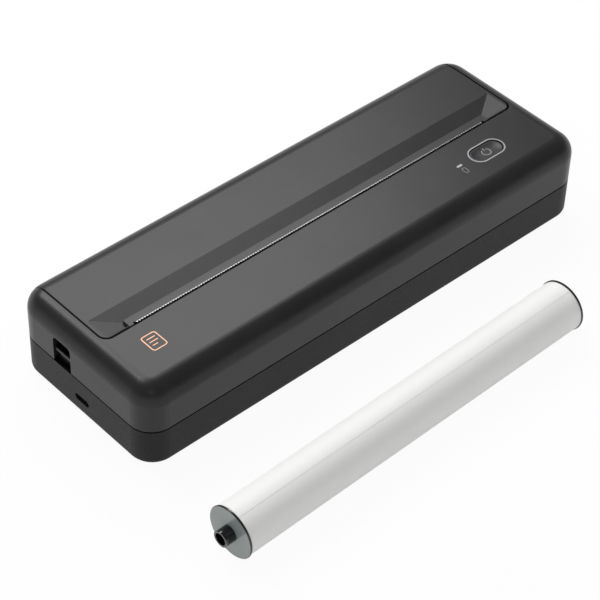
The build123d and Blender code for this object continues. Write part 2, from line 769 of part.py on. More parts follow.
with BuildPart() as platen_rubber:
    with BuildSketch(yz(paper_offset - platen_half)):
        with Locations(platen):
            Circle(platen_radius)
            Circle(shaft_radius, mode=Mode.SUBTRACT)
    extrude(amount=2 * platen_half)
    rubber_rims = platen_rubber.edges().filter_by(GeomType.CIRCLE)
    chamfer(rubber_rims.filter_by(lambda rim_edge: rim_edge.radius > shaft_radius + 1), 0.5)
platen_rubber.part.label = "platen_rubber"


def gear_disc(x, width, teeth, module, turn, centre, bore):
    """A toothed disc about a (y, z) centre, from x on, in the part that is being built."""
    with BuildSketch(yz(x)) as disc:
        with BuildLine():
            Polyline(*[(centre[0] + y, centre[1] + z) for y, z in gear_points(teeth, module, turn)],
                     close=True)
        make_face()
        with Locations(centre):
            Circle(bore, mode=Mode.SUBTRACT)
    extrude(disc.sketch, amount=width)


with BuildPart() as platen_gear:
    gear_disc(gear_layer_out, gear_width, platen_teeth, train_module, 0, platen, shaft_radius)
platen_gear.part.label = "platen_gear"

# ---------------------------------------------------------------- gear train in the base
post_bore = post_radius + running_fit
with BuildPart() as idler_gear:
    gear_disc(gear_layer_out, gear_width, idler_teeth, train_module, idler_turn, idler, post_bore)
idler_gear.part.label = "idler_gear"

with BuildPart() as reduction_gear:
    gear_disc(gear_layer_in, gear_width, large_teeth, motor_module, 0, reduction, post_bore)
    gear_disc(gear_layer_in + gear_width, gear_end - gear_layer_in - gear_width, small_teeth,
              train_module, small_turn, reduction, post_bore)
reduction_gear.part.label = "reduction_gear"

with BuildPart() as motor_pinion:
    gear_disc(gear_layer_in, gear_width, pinion_teeth, motor_module, pinion_turn, motor,
              motor_shaft_radius)
motor_pinion.part.label = "motor_pinion"

plate_outer = right_plate_face + plate_thickness
with BuildPart() as motor_shaft:
    x_bar(motor, motor_shaft_radius, right_plate_face - 5, gear_layer_in + gear_width)
motor_shaft.part.label = "motor_shaft"

with BuildPart() as stepper_motor:
    x_bar(motor, motor_radius, right_plate_face - motor_length, right_plate_face)
    chamfer(stepper_motor.edges(), 0.6)
    x_bar(motor, motor_boss, right_plate_face - 1, plate_outer)
    x_bar(motor, motor_shaft_radius + running_fit, right_plate_face - 5.2, plate_outer + 1,
          mode=Mode.SUBTRACT)
stepper_motor.part.label = "stepper_motor"

with BuildPart() as gear_posts:
    for centre in (idler, reduction):
        x_bar(centre, post_radius, plate_outer, gear_end + 0.8)
gear_posts.part.label = "gear_posts"

# ---------------------------------------------------------------- side plates
head_face = platen_y - platen_radius - head_gap
sink_front = head_face - head_board_thickness
bracket_face = sink_front - sink_thickness
spring_end = bracket_face - bracket_thickness
beam_face = spring_end - spring_length
beam_front = beam_face - beam_thickness
plate_front = beam_front - 0.8
plate_back = platen_y + bush_radius + 1.7
notch_radius = bush_radius + notch_clearance


def plate_profile(motor_side):
    """Outline of a side plate, with the open notch that the platen's bushing drops into."""
    with BuildSketch() as outline:
        with Locations(((plate_front + plate_back) / 2, (floor + plate_top) / 2)):
            Rectangle(plate_back - plate_front, plate_top - floor)
        with Locations(((plate_front + rod_y + 3.6) / 2, (floor + rod_z + 4) / 2)):
            Rectangle(rod_y + 3.6 - plate_front, rod_z + 4 - floor)
        if motor_side:
            low_z = motor[1] + motor_radius
            with Locations(((motor[0] - motor_radius + plate_front) / 2, (floor + low_z) / 2)):
                Rectangle(plate_front - motor[0] + motor_radius, low_z - floor)
        with Locations(platen):
            Circle(notch_radius, mode=Mode.SUBTRACT)
        with BuildLine():
            across = step_from((0, 0), notch_radius, opening_angle - 90)
            along = step_from((0, 0), 3 * platen_radius, opening_angle)
            Polyline((platen_y + across[0], platen_z + across[1]),
                     (platen_y + across[0] + along[0], platen_z + across[1] + along[1]),
                     (platen_y - across[0] + along[0], platen_z - across[1] + along[1]),
                     (platen_y - across[0], platen_z - across[1]), close=True)
        make_face(mode=Mode.SUBTRACT)
        with Locations(rod):
            Circle(rod_radius + running_fit, mode=Mode.SUBTRACT)
        if motor_side:
            with Locations(motor):
                Circle(motor_boss + seat_fit, mode=Mode.SUBTRACT)
    return outline.sketch


with BuildPart() as left_side_plate:
    with BuildSketch(yz(left_plate_face - plate_thickness)):
        add(plate_profile(False))
    extrude(amount=plate_thickness)
left_side_plate.part.label = "left_side_plate"

with BuildPart() as drive_side_plate:
    with BuildSketch(yz(right_plate_face)):
        add(plate_profile(True))
    extrude(amount=plate_thickness)
drive_side_plate.part.label = "drive_side_plate"

# ---------------------------------------------------------------- print head
head_board_low = platen_z - head_below
sink_low = platen_z - sink_below
head_spring_z = platen_z - spring_drop
spring_pitch = 2 * plate_half / spring_count
spring_places = [paper_offset + (index - (spring_count - 1) / 2) * spring_pitch
                 for index in range(spring_count)]
with BuildPart() as head_board:
    with BuildSketch(Plane.XZ.offset(-head_face)):
        with Locations((paper_offset, (head_board_low + head_top) / 2)):
            Rectangle(2 * (platen_half + head_overhang), head_top - head_board_low)
    extrude(amount=head_board_thickness)
head_board.part.label = "head_board"

sink_half = plate_half - plate_side_gap
with BuildPart() as heat_sink:
    with BuildSketch(Plane.XZ.offset(-sink_front)):
        with Locations((paper_offset, (sink_low + head_top) / 2)):
            Rectangle(2 * sink_half, head_top - sink_low)
    extrude(amount=sink_thickness)
    # cooling grooves along the lower edge
    with BuildSketch(yz(paper_offset - sink_half - 1)):
        with Locations(*[(bracket_face, sink_low + 1.5 + 2.2 * step) for step in range(3)]):
            Rectangle(2 * groove_depth, 1.0)
    extrude(amount=2 * sink_half + 2, mode=Mode.SUBTRACT)
heat_sink.part.label = "heat_sink"

bracket_low = head_spring_z - 4.5
with BuildPart() as head_bracket:
    with BuildSketch(Plane.XZ.offset(-bracket_face)):
        with Locations((paper_offset, (bracket_low + head_top) / 2)):
            Rectangle(2 * sink_half, head_top - bracket_low)
        with Locations(*[(place + spring_pitch / 2, head_spring_z) for place in spring_places[:-1]]):
            SlotOverall(spring_pitch * 0.35, 5, mode=Mode.SUBTRACT)
    extrude(amount=bracket_thickness)
head_bracket.part.label = "head_bracket"

with BuildPart() as spring_beam:
    with BuildSketch(Plane.XZ.offset(-beam_face)):
        with Locations((paper_offset, (bracket_low - 2 + head_top - 1) / 2)):
            Rectangle(2 * plate_half, head_top - 1 - bracket_low + 2)
    extrude(amount=beam_thickness)
    # folded lower flange
    block((paper_offset - plate_half, beam_front, bracket_low - 2 - beam_thickness),
          (paper_offset + plate_half, beam_face + 3, bracket_low - 2))
spring_beam.part.label = "spring_beam"


def coil(radius, wire, length, coils, foot, direction):
    """A compression spring of wire radius wire that stands on foot."""
    body = length - 2 * wire
    with BuildPart() as spring:
        with BuildLine() as path:
            Helix(pitch=body / coils, height=body, radius=radius,
                  center=Vector(foot) + Vector(direction) * wire, direction=direction)
        with BuildSketch(Plane(origin=path.line @ 0, z_dir=path.line % 0)):
            RegularPolygon(wire, 6)
        sweep()
    return spring.part


head_coils = [coil(head_spring_radius - spring_wire / 2, spring_wire / 2, spring_length, 4,
                   (place, beam_face, head_spring_z), (0, 1, 0)) for place in spring_places]

with BuildPart() as head_springs:
    add(head_coils)
head_springs.part.label = "head_springs"

# ---------------------------------------------------------------- paper bay
tray_left = paper_offset - platen_half - bay_end_wall
tray_length = 2 * (platen_half + bay_end_wall)
hub_seat = hub_radius + 0.6
leg_offset = bay_outer * 0.63


def trough(radius, top):
    """A trough's section: half round below the bay's axis, straight above it."""
    with BuildSketch() as section:
        with Locations((bay_y, bay_z)):
            Circle(radius)
        with Locations((bay_y, (bay_z + top) / 2)):
            Rectangle(2 * radius, top - bay_z)
        with Locations((bay_y, top + radius)):
            Rectangle(2 * radius, 2 * radius, mode=Mode.SUBTRACT)
    return section.sketch


with BuildPart() as paper_tray:
    with BuildSketch(yz(tray_left)):
        add(trough(bay_outer, bay_rim))
    extrude(amount=tray_length)
    with BuildSketch(yz(paper_offset - platen_half)):
        add(trough(bay_radius, bay_rim + 1))
    extrude(amount=2 * platen_half, mode=Mode.SUBTRACT)
    # seats for the roll's hubs in both end walls
    with BuildSketch(yz(tray_left - 1)):
        with Locations((bay_y, bay_z)):
            Circle(hub_seat)
        with Locations((bay_y, bay_z + bay_radius / 2)):
            Rectangle(2 * hub_seat, bay_radius)
    extrude(amount=tray_length + 2, mode=Mode.SUBTRACT)
    # legs down to the case's floor
    for place in (-1.5, -0.5, 0.5, 1.5):
        for leg_y in (bay_y - leg_offset, bay_y + leg_offset):
            block((place * leg_spacing - 0.8, leg_y - 2, floor),
                  (place * leg_spacing + 0.8, leg_y + 2, bay_z - bay_radius * 0.81))
paper_tray.part.label = "paper_tray"

guide_radius = platen_radius + guide_gap
with BuildPart() as paper_guide:
    with BuildSketch(yz(paper_offset - platen_half)):
        with BuildLine():
            arc_start = step_from(platen, guide_radius, -125)
            arc_middle = step_from(platen, guide_radius, -95)
            arc_end = step_from(platen, guide_radius, -62)
            low_end = step_from(platen, guide_radius + guide_wall, -62)
            low_middle = step_from(platen, guide_radius + guide_wall, -95)
            low_start = step_from(platen, guide_radius + guide_wall, -125)
            rim_front = bay_y - bay_outer
            ThreePointArc(arc_start, arc_middle, arc_end)
            Polyline(arc_end, (rim_front + bay_wall, bay_rim + guide_wall),
                     (rim_front + bay_wall, bay_rim), (rim_front, bay_rim), low_end)
            ThreePointArc(low_end, low_middle, low_start)
            Line(low_start, arc_start)
        make_face()
    extrude(amount=2 * platen_half)
paper_guide.part.label = "paper_guide"

with BuildPart() as paper_sensor:
    sensor_x = paper_offset + 16
    block((sensor_x - 3, bay_y - bay_outer - 2.6, bay_rim - 5.5),
          (sensor_x + 3, bay_y - bay_outer, bay_rim - 1.5))
    chamfer(paper_sensor.edges().filter_by(Axis.Z), 0.5)
paper_sensor.part.label = "paper_sensor"

# ---------------------------------------------------------------- battery
cell_centre = (cell_y, cell_z)


def battery_cell(start):
    """A round cell along X with its raised contact."""
    with BuildPart() as cell:
        x_bar(cell_centre, cell_radius, start, start + cell_length - 0.8)
        fillet(cell.edges(), 0.8)
        x_bar(cell_centre, cell_radius * 0.4, start + cell_length - 1, start + cell_length)
    return cell.part


with BuildPart() as battery_cell_left:
    add(battery_cell(cell_start))
battery_cell_left.part.label = "battery_cell_left"

with BuildPart() as battery_cell_right:
    add(battery_cell(cell_start + cell_length + cell_link))
battery_cell_right.part.label = "battery_cell_right"

with BuildPart() as cell_strap:
    x_bar(cell_centre, cell_radius * 0.4, cell_start + cell_length,
          cell_start + cell_length + cell_link)
cell_strap.part.label = "cell_strap"

with BuildPart() as battery_sleeve:
    with BuildSketch(yz(cell_start - 0.5)):
        with Locations(cell_centre):
            Circle(cell_radius + sleeve_wall)
            Circle(cell_radius + cell_fit, mode=Mode.SUBTRACT)
    extrude(amount=cell_end - cell_start + 1)
battery_sleeve.part.label = "battery_sleeve"

# ---------------------------------------------------------------- boards and electrics
with BuildPart() as main_board:
    with BuildSketch(Plane.XY.offset(board_top - board_thickness)):
        with Locations((board_x, board_y)):
            RectangleRounded(board_length, board_depth, 1.5)
    extrude(amount=board_thickness)
main_board.part.label = "main_board"

cap_top = case_height - button_sink
cap_low = deck_under - 1.4
switch_top = cap_low - 0.5 - button_travel
with BuildPart() as power_switch:
    with BuildSketch(Plane.XY.offset(board_top)):
        with Locations((button_x, button_y)):
            Rectangle(switch_width, switch_width)
    extrude(amount=switch_body)
    with BuildSketch(Plane.XY.offset(board_top + switch_body)):
        with Locations((button_x, button_y)):
            Circle(plunger_radius)
    extrude(amount=switch_top - 0.05 - board_top - switch_body)
power_switch.part.label = "power_switch"

chip_low = board_top - board_thickness
# processor, memory and the battery's connector: shares of the board along and across, then sizes
chips = ((-0.18, -0.08, 10, 10, 1.4), (0.13, 0.13, 7, 7, 1.2), (-0.38, 0, 5, 14, 3.5))
with BuildPart() as board_chips:
    for share_x, share_y, size_x, size_y, height in chips:
        chip_x = board_x + share_x * board_length
        chip_y = board_y + share_y * board_depth
        block((chip_x - size_x / 2, chip_y - size_y / 2, chip_low - height),
              (chip_x + size_x / 2, chip_y + size_y / 2, chip_low))
board_chips.part.label = "board_chips"

with BuildPart() as indicator_lamps:
    for lamp_y in (battery_light_y, link_light_y):
        block((light_x - 0.8, lamp_y - 0.5, board_top),
              (light_x + 0.8, lamp_y + 0.5, board_top + lamp_height))
indicator_lamps.part.label = "indicator_lamps"

with BuildPart() as light_pipes:
    with BuildSketch(Plane.XY.offset(case_height)):
        with Locations((light_x, battery_light_y)):
            SlotOverall(light_slot_length, light_slot_width)
        with Locations((light_x, link_light_y)):
            Circle(link_light_radius)
    extrude(amount=-(case_height - board_top - lamp_height - 0.3))
light_pipes.part.label = "light_pipes"

with BuildPart() as button_ring:
    with BuildSketch(Plane.XY.offset(case_height - ring_height)):
        with Locations((button_x, button_y)):
            SlotOverall(button_length + 2 * (button_gap + ring_width),
                        button_width + 2 * (button_gap + ring_width))
            SlotOverall(button_length + 2 * button_gap, button_width + 2 * button_gap,
                        mode=Mode.SUBTRACT)
    extrude(amount=ring_height)
button_ring.part.label = "button_ring"

# ---------------------------------------------------------------- power button
dish_radius = ((button_width * 0.42) ** 2 + button_dish ** 2) / (2 * button_dish)
with BuildPart() as power_button:
    with BuildSketch(Plane.XY.offset(cap_low)):
        with Locations((button_x, button_y)):
            SlotOverall(button_length, button_width)
    extrude(amount=cap_top - cap_low)
    fillet(power_button.edges().group_by(Axis.Z)[-1], 0.4)
    # the finger dish runs along the cap
    with BuildPart(mode=Mode.PRIVATE) as dish:
        with Locations((button_x, button_y, cap_top - button_dish + dish_radius)):
            Cylinder(dish_radius, 2 * (button_length - button_width) / 2, rotation=(0, 90, 0))
            with Locations((-(button_length - button_width) / 2, 0, 0),
                           ((button_length - button_width) / 2, 0, 0)):
                Sphere(dish_radius)
    add(dish.part, mode=Mode.SUBTRACT)
    # collar under the top that keeps the cap in
    with BuildSketch(Plane.XY.offset(cap_low)):
        with Locations((button_x, button_y)):
            SlotOverall(button_length + 2 * button_collar, button_width + 2 * button_collar)
    extrude(amount=deck_under - 0.3 - cap_low)
    with BuildSketch(Plane.XY.offset(switch_top + button_travel)):
        with Locations((button_x, button_y)):
            Circle(plunger_radius + 0.2)
    extrude(amount=cap_low - switch_top - button_travel + 0.1)
power_button.part.label = "power_button"

# ---------------------------------------------------------------- charging port
with BuildPart() as usb_board:
    with BuildSketch(Plane.XY.offset(usb_board_low)):
        with Locations(((usb_mouth + 1 + usb_post_x + 3) / 2, usb_y - 2.7)):
            Rectangle(usb_post_x + 2 - usb_mouth, 14.5)
    extrude(amount=usb_board_thickness)
usb_board.part.label = "usb_board"

with BuildPart() as usb_socket:
    with BuildSketch(yz(usb_mouth)):
        with Locations((usb_y, usb_z)):
            SlotOverall(usb_body_length, usb_body_height)
    extrude(amount=usb_body_depth)
    with BuildSketch(yz(usb_mouth)):
        with Locations((usb_y, usb_z)):
            SlotOverall(usb_body_length - 0.6, usb_body_height - 0.6)
            Rectangle(6.6, 0.7, mode=Mode.SUBTRACT)
    extrude(amount=usb_body_depth - 1.2, mode=Mode.SUBTRACT)
usb_socket.part.label = "usb_socket"

# ---------------------------------------------------------------- release slider
slider_front = window_front + slider_gap
slider_rear = window_back - slider_gap
slider_out = -case_length / 2 + wall + 0.3
slider_in = slider_out + slider_thickness
ledge_out = slider_out - slider_reach
stem_front = rod_y + crank_reach - stem_depth - slider_gap
with BuildPart() as release_slider:
    # face plate behind the window
    with BuildSketch(yz(slider_in - slider_plate)):
        with Locations(((slider_front + slider_rear) / 2,
                        (slider_low + window_top + slider_travel + 1) / 2)):
            Rectangle(slider_rear - slider_front, window_top + slider_travel + 1 - slider_low)
    extrude(amount=slider_plate)
    # thumb block: its section, with the rounded ledge on top
    with BuildSketch(Plane.XZ.offset(-slider_front)) as thumb:
        with BuildLine():
            Polyline((slider_in - 0.5, slider_low), (slider_out, slider_low),
                     (slider_out, upper_rim + slider_travel + 0.6),
                     (ledge_out, slider_ledge - 1.6), (ledge_out, slider_ledge),
                     (slider_in - 0.5, slider_ledge), close=True)
        make_face()
        fillet(thumb.vertices().group_by(Axis.X)[0], 0.5)
    extrude(amount=-(slider_rear - slider_front))
    # stem that presses on the latch crank
    block((slider_in - 1.6, stem_front, rod_z + crank_half_height + crank_gap),
          (slider_in + 2.6, slider_rear, slider_low + 2.4))
release_slider.part.label = "release_slider"

slider_coil = coil(slider_spring_radius, slider_spring_wire, slider_low - slider_spring_foot, 6,
                   (slider_spring_x, slider_spring_y, slider_spring_foot), (0, 0, 1))
with BuildPart() as slider_spring:
    add(slider_coil)
slider_spring.part.label = "slider_spring"

# ---------------------------------------------------------------- latch
crank_x = slider_in + 0.4
with BuildPart() as latch_shaft:
    x_bar(rod, rod_radius, crank_x - 0.4, right_hook_x + hook_width / 2 + 1.5)
latch_shaft.part.label = "latch_shaft"

with BuildPart() as latch_crank:
    with BuildSketch(yz(crank_x)):
        with Locations(rod):
            Circle(rod_radius + 1.5)
        with Locations((rod_y + crank_reach / 2, rod_z)):
            Rectangle(crank_reach, 2 * crank_half_height)
        with Locations(rod):
            Circle(rod_radius, mode=Mode.SUBTRACT)
    extrude(amount=crank_width)
latch_crank.part.label = "latch_crank"


def latch_hook(x):
    """An arm on the latch shaft whose nose reaches towards the lid's catch."""
    with BuildPart() as hook:
        with BuildSketch(yz(x - hook_width / 2)):
            with Locations(rod):
                Circle(rod_radius + 1.8)
            with BuildLine():
                Polyline((rod_y - 1.8, rod_z), (rod_y + 0.2, hook_top - 3), (hook_tip, hook_top - 3),
                         (hook_tip, hook_top - 1.4), (rod_y + 1.0, hook_top),
                         (rod_y + 2.8, hook_top - 1), (rod_y + 3.4, rod_z), close=True)
            make_face()
            with Locations(rod):
                Circle(rod_radius, mode=Mode.SUBTRACT)
        extrude(amount=hook_width)
    return hook.part


with BuildPart() as latch_hook_left:
    add(latch_hook(left_hook_x))
latch_hook_left.part.label = "latch_hook_left"

with BuildPart() as latch_hook_right:
    add(latch_hook(right_hook_x))
latch_hook_right.part.label = "latch_hook_right"

# ---------------------------------------------------------------- paper roll
roll_direction = (cos(radians(roll_turn)), sin(radians(roll_turn)), 0)
paper_half = paper_width / 2
roll_half = paper_half + flange_thickness
roll_x = roll_left + roll_half * roll_direction[0]
roll_y = -case_depth / 2 - roll_ahead + roll_half * roll_direction[1]
roll_plane = Plane(origin=(roll_x, roll_y, roll_axis_z), x_dir=(0, 0, 1), z_dir=roll_direction)

with BuildPart() as roll_paper:
    with BuildSketch(roll_plane.offset(-paper_half)):
        Circle(paper_radius)
        Circle(core_radius, mode=Mode.SUBTRACT)
    extrude(amount=paper_width)
roll_paper.part.label = "roll_paper"

with BuildPart() as roll_core:
    with BuildSketch(roll_plane.offset(-paper_half)):
        Circle(core_radius)
        Circle(core_radius - core_wall, mode=Mode.SUBTRACT)
    extrude(amount=paper_width)
roll_core.part.label = "roll_core"


def roll_flange(side):
    """A smoke grey end disc that rides on its hub, outside the paper."""
    with BuildPart() as flange:
        with BuildSketch(roll_plane.offset(side * paper_half)):
            Circle(flange_radius)
            Circle(hub_radius, mode=Mode.SUBTRACT)
        extrude(amount=side * flange_thickness)
        rims = flange.edges().filter_by(GeomType.CIRCLE)
        chamfer(rims.filter_by(lambda rim_edge: rim_edge.radius > hub_radius + 1), 0.3)
    return flange.part


def roll_hub(side):
    """A hub: plug inside the core, body through the end disc, hollow stub outside."""
    stub_end = paper_half + flange_thickness + hub_length
    with BuildPart() as hub:
        with BuildSketch(roll_plane.offset(side * (paper_half - hub_plug))):
            Circle(core_radius - core_wall)
        extrude(amount=side * hub_plug)
        with BuildSketch(roll_plane.offset(side * paper_half)):
            Circle(hub_radius)
        extrude(amount=side * (flange_thickness + hub_length))
        with BuildSketch(roll_plane.offset(side * stub_end)):
            Circle(hub_bore)
        extrude(amount=-side * (hub_length + 2), mode=Mode.SUBTRACT)
    return hub.part


with BuildPart() as roll_flange_left:
    add(roll_flange(-1))
roll_flange_left.part.label = "roll_flange_left"

with BuildPart() as roll_flange_right:
    add(roll_flange(1))
roll_flange_right.part.label = "roll_flange_right"

with BuildPart() as roll_hub_left:
    add(roll_hub(-1))
roll_hub_left.part.label = "roll_hub_left"

with BuildPart() as roll_hub_right:
    add(roll_hub(1))
roll_hub_right.part.label = "roll_hub_right"

# ---------------------------------------------------------------- files
pieces = [lower_case, upper_case, rubber_feet, case_screws, lid_shell, lid_frame, tear_bar,
          hinge_pins, platen_bushings, platen_shaft, platen_rubber, platen_gear, idler_gear,
          reduction_gear, motor_pinion, motor_shaft, stepper_motor, gear_posts, left_side_plate,
          drive_side_plate, head_board, heat_sink, head_bracket, spring_beam, head_springs,
          paper_tray, paper_guide, paper_sensor, battery_cell_left, battery_cell_right, cell_strap,
          battery_sleeve, main_board, power_switch, board_chips, indicator_lamps, light_pipes,
          button_ring, power_button, usb_board, usb_socket, release_slider, slider_spring,
          latch_shaft, latch_crank, latch_hook_left, latch_hook_right, roll_paper, roll_core,
          roll_flange_left, roll_flange_right, roll_hub_left, roll_hub_right]

os.makedirs("parts", exist_ok=True)
for piece in pieces:
    # the case stands on its feet, with the table at height zero
    piece.part.move(Location((0, 0, foot_stand)))
    export_step(piece.part, f"parts/{piece.part.label}.step")
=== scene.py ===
"""The looks of an A4 portable thermal printer and its loose roll of paper.

Metres, +X along the case towards the power button, +Y towards the lid's hinge, +Z up.
"""

import math

import bpy
from mathutils import Matrix, Vector


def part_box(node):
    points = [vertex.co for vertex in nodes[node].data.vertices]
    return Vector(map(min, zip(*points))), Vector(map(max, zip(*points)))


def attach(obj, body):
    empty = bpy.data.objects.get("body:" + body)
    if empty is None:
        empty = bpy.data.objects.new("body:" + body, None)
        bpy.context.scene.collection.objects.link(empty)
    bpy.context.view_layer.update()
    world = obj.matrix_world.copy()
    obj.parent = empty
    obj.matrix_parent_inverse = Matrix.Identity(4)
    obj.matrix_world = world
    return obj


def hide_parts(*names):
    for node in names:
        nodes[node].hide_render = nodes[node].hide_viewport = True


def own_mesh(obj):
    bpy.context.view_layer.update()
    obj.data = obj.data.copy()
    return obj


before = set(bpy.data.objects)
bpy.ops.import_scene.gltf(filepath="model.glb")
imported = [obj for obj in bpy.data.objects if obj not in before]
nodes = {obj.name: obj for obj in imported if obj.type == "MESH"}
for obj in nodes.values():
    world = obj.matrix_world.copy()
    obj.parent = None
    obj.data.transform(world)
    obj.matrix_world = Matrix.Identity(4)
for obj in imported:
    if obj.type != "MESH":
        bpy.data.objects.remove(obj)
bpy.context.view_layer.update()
scene = bpy.context.scene
mm = 0.001

# Sizes in the finishes, in millimetres, and how much longer than wide a drawn line is.
flow_size = 26
line_stretch = 60


# ---------------------------------------------------------------- small tools


def colour(code):
    """An sRGB hex code as the linear colour that a shader socket takes."""
    parts = [int(code[i : i + 2], 16) / 255 for i in (1, 3, 5)]
    return [p / 12.92 if p <= 0.04045 else ((p + 0.055) / 1.055) ** 2.4 for p in parts] + [1.0]


def add(tree, kind, links=None, values=None, **settings):
    """Adds one shader node with its settings, its socket values and what feeds it."""
    made = tree.nodes.new("ShaderNode" + kind)
    for name, value in settings.items():
        setattr(made, name, value)
    for name, value in (values or {}).items():
        made.inputs[name].default_value = value
    for name, source in (links or {}).items():
        tree.links.new(source, made.inputs[name])
    return made


def grain(size):
    """The scale of a noise whose grains are that many millimetres wide."""
    return 1000.0 / size


def new_finish(name, **values):
    """A material of that name with its shader, and the object's own coordinates in metres."""
    made = bpy.data.materials.new(name)
    made.use_nodes = True
    tree = made.node_tree
    tree.nodes.clear()
    shader = add(tree, "BsdfPrincipled", values={k.replace("_", " "): v for k, v in values.items()})
    add(tree, "OutputMaterial", {"Surface": shader.outputs[0]})
    return made, tree, shader, add(tree, "TexCoord").outputs["Object"]


def noise(tree, place, scale, detail):
    """A cloudy noise from 0 to 1."""
    return add(tree, "TexNoise", {"Vector": place}, {"Scale": scale, "Detail": detail}).outputs[0]


def blend(tree, source, light, dark):
    """A colour that goes from light to dark as source goes from 0 to 1."""
    mix = add(tree, "Mix", {0: source}, {6: colour(light), 7: colour(dark)}, data_type="RGBA")
    return mix.outputs[2]


def tinted(tree, shader, source, light, dark):
    """The shader's colour goes from light to dark as source goes from 0 to 1."""
    skin = blend(tree, source, light, dark)
    tree.links.new(skin, shader.inputs["Base Color"])
    return skin


def spread(tree, source, low, high, start=0.3, end=0.7):
    """A noise from start to end, as a number from low to high."""
    return add(
        tree, "MapRange", {"Value": source},
        {"From Min": start, "From Max": end, "To Min": low, "To Max": high},
    ).outputs[0]


def glossed(tree, shader, source, low, high):
    """The shader's roughness goes from low to high with a noise."""
    tree.links.new(spread(tree, source, low, high), shader.inputs["Roughness"])


def apart(tree, source, middle):
    """How far source lies from middle, on either side."""
    shifted = add(tree, "Math", {0: source}, {1: -middle}, operation="ADD")
    return add(tree, "Math", {0: shifted.outputs[0]}, operation="ABSOLUTE").outputs[0]


def sight(tree):
    """Two masks of light rays: those that the camera sends, and those with mirrored or refracted ones."""
    ray = add(tree, "LightPath")
    seen = add(tree, "Math", {0: ray.outputs["Is Camera Ray"], 1: ray.outputs["Is Glossy Ray"]},
               operation="MAXIMUM")
    seen = add(tree, "Math", {0: seen.outputs[0], 1: ray.outputs["Is Transmission Ray"]},
               operation="MAXIMUM")
    return ray.outputs["Is Camera Ray"], seen.outputs[0]


def raised(tree, shader, height, depth):
    """height, from 0 to 1, stands depth metres out of the surface."""
    bump = add(tree, "Bump", {"Height": height}, {"Distance": depth, "Strength": 1.0})
    tree.links.new(bump.outputs[0], shader.inputs["Normal"])
    return bump


def moulded(name, light, dark, gloss, grain_size, depth, soft_edge=0.0, **values):
    """A moulded plastic: a faint flow mottle in its colour and the grain of its tool in its gloss. Its
    edges shine as if they were rounded by soft_edge metres."""
    made, tree, shader, place = new_finish(name, **values)
    flow = noise(tree, place, grain(flow_size), 3.0)
    pit = noise(tree, place, grain(grain_size), 2.0)
    both = add(tree, "Math", {0: flow, 1: pit}, operation="MULTIPLY")
    tinted(tree, shader, spread(tree, both.outputs[0], 0.0, 1.0, 0.12, 0.40), light, dark)
    glossed(tree, shader, pit, *gloss)
    bump = raised(tree, shader, pit, depth)
    if soft_edge:
        rounding = add(tree, "Bevel", values={"Radius": soft_edge}, samples=6)
        tree.links.new(rounding.outputs[0], bump.inputs["Normal"])
    return made


def drawn(name, light, dark, gloss, line_size, along, depth, **values):
    """A rolled, drawn or ground metal: fine lines along one axis."""
    made, tree, shader, place = new_finish(name, Metallic=1.0, **values)
    stretch = [grain(line_size)] * 3
    stretch["XYZ".index(along)] = grain(line_size * line_stretch)
    lay = add(tree, "Mapping", {"Vector": place}, {"Scale": stretch})
    line = noise(tree, lay.outputs[0], 1.0, 3.0)
    tinted(tree, shader, spread(tree, line, 0.0, 1.0), light, dark)
    glossed(tree, shader, line, *gloss)
    raised(tree, shader, line, depth)
    return made


# ---------------------------------------------------------------- finishes

# ABS, moulded in a spark-eroded tool: a dark grey that scatters a soft, broad shine. The grain
# is 0.15 mm in the tool and is drawn 0.6 mm wide, because finer grain would not show.
cover_abs = moulded("abs_spark_eroded_dark_grey", "#29292b", "#222224", (0.30, 0.37), 0.6, 7e-6,
                    soft_edge=0.3 * mm, Specular_IOR_Level=0.31)
deck_abs = moulded("abs_spark_eroded_deck_grey", "#2a292a", "#232223", (0.29, 0.36), 0.6, 7e-6,
                   soft_edge=0.3 * mm, Specular_IOR_Level=0.30)
# The same ABS from the lower tool, with a coarser grain, coloured darker than the upper shell and duller.
base_abs = moulded("abs_spark_eroded_base_grey", "#252122", "#1d1a1b", (0.42, 0.52), 0.7, 1.2e-5,
                   soft_edge=0.3 * mm, Specular_IOR_Level=0.18)


def paint_groove_shade(made, low, high):
    """Paints shade into a moulding between two heights: a near-black colour where the two shells leave a
    groove, standing in for the shade inside it.
    """
    tree = made.node_tree
    shader = next(n for n in tree.nodes if n.type == "BSDF_PRINCIPLED")
    skin = shader.inputs["Base Color"].links[0].from_socket
    place = next(n for n in tree.nodes if n.type == "TEX_COORD").outputs["Object"]
    height = add(tree, "SeparateXYZ", {0: place}).outputs[2]
    far = apart(tree, height, (low + high) / 2)
    inside = add(tree, "Math", {0: far}, {1: (high - low) / 2}, operation="LESS_THAN")
    # Near-black painted shade between the two heights.
    mix = add(tree, "Mix", {0: inside.outputs[0], 6: skin}, {7: colour("#050505")}, data_type="RGBA")
    tree.links.new(mix.outputs[2], shader.inputs["Base Color"])


# The heights of the painted shade line in the seam's groove, in the upper shell and in the lower one, over
# the floor.
groove_shade_above = (21.90 * mm, 22.22 * mm)
groove_shade_below = (21.18 * mm, 21.50 * mm)
paint_groove_shade(deck_abs, *groove_shade_above)
paint_groove_shade(base_abs, *groove_shade_below)
# Glass-filled nylon of the inner parts: nearly black and matte, with a faint fibre mottle.
frame_nylon = moulded("nylon_glass_filled_black", "#29292b", "#1e1e20", (0.48, 0.62), 0.9, 1.5e-5)
# Smooth black ABS of the release slider, shinier than the parts round it.
slider_abs = moulded("abs_gloss_black_slider", "#121213", "#0c0c0d", (0.26, 0.34), 0.8, 3e-6,
                     Specular_IOR_Level=0.34)
# Polished ABS of the button cap, with a soft sheen.
cap_abs = moulded("abs_satin_button_grey", "#2c2c2f", "#262629", (0.34, 0.42), 0.5, 4e-6,
                  Specular_IOR_Level=0.42)
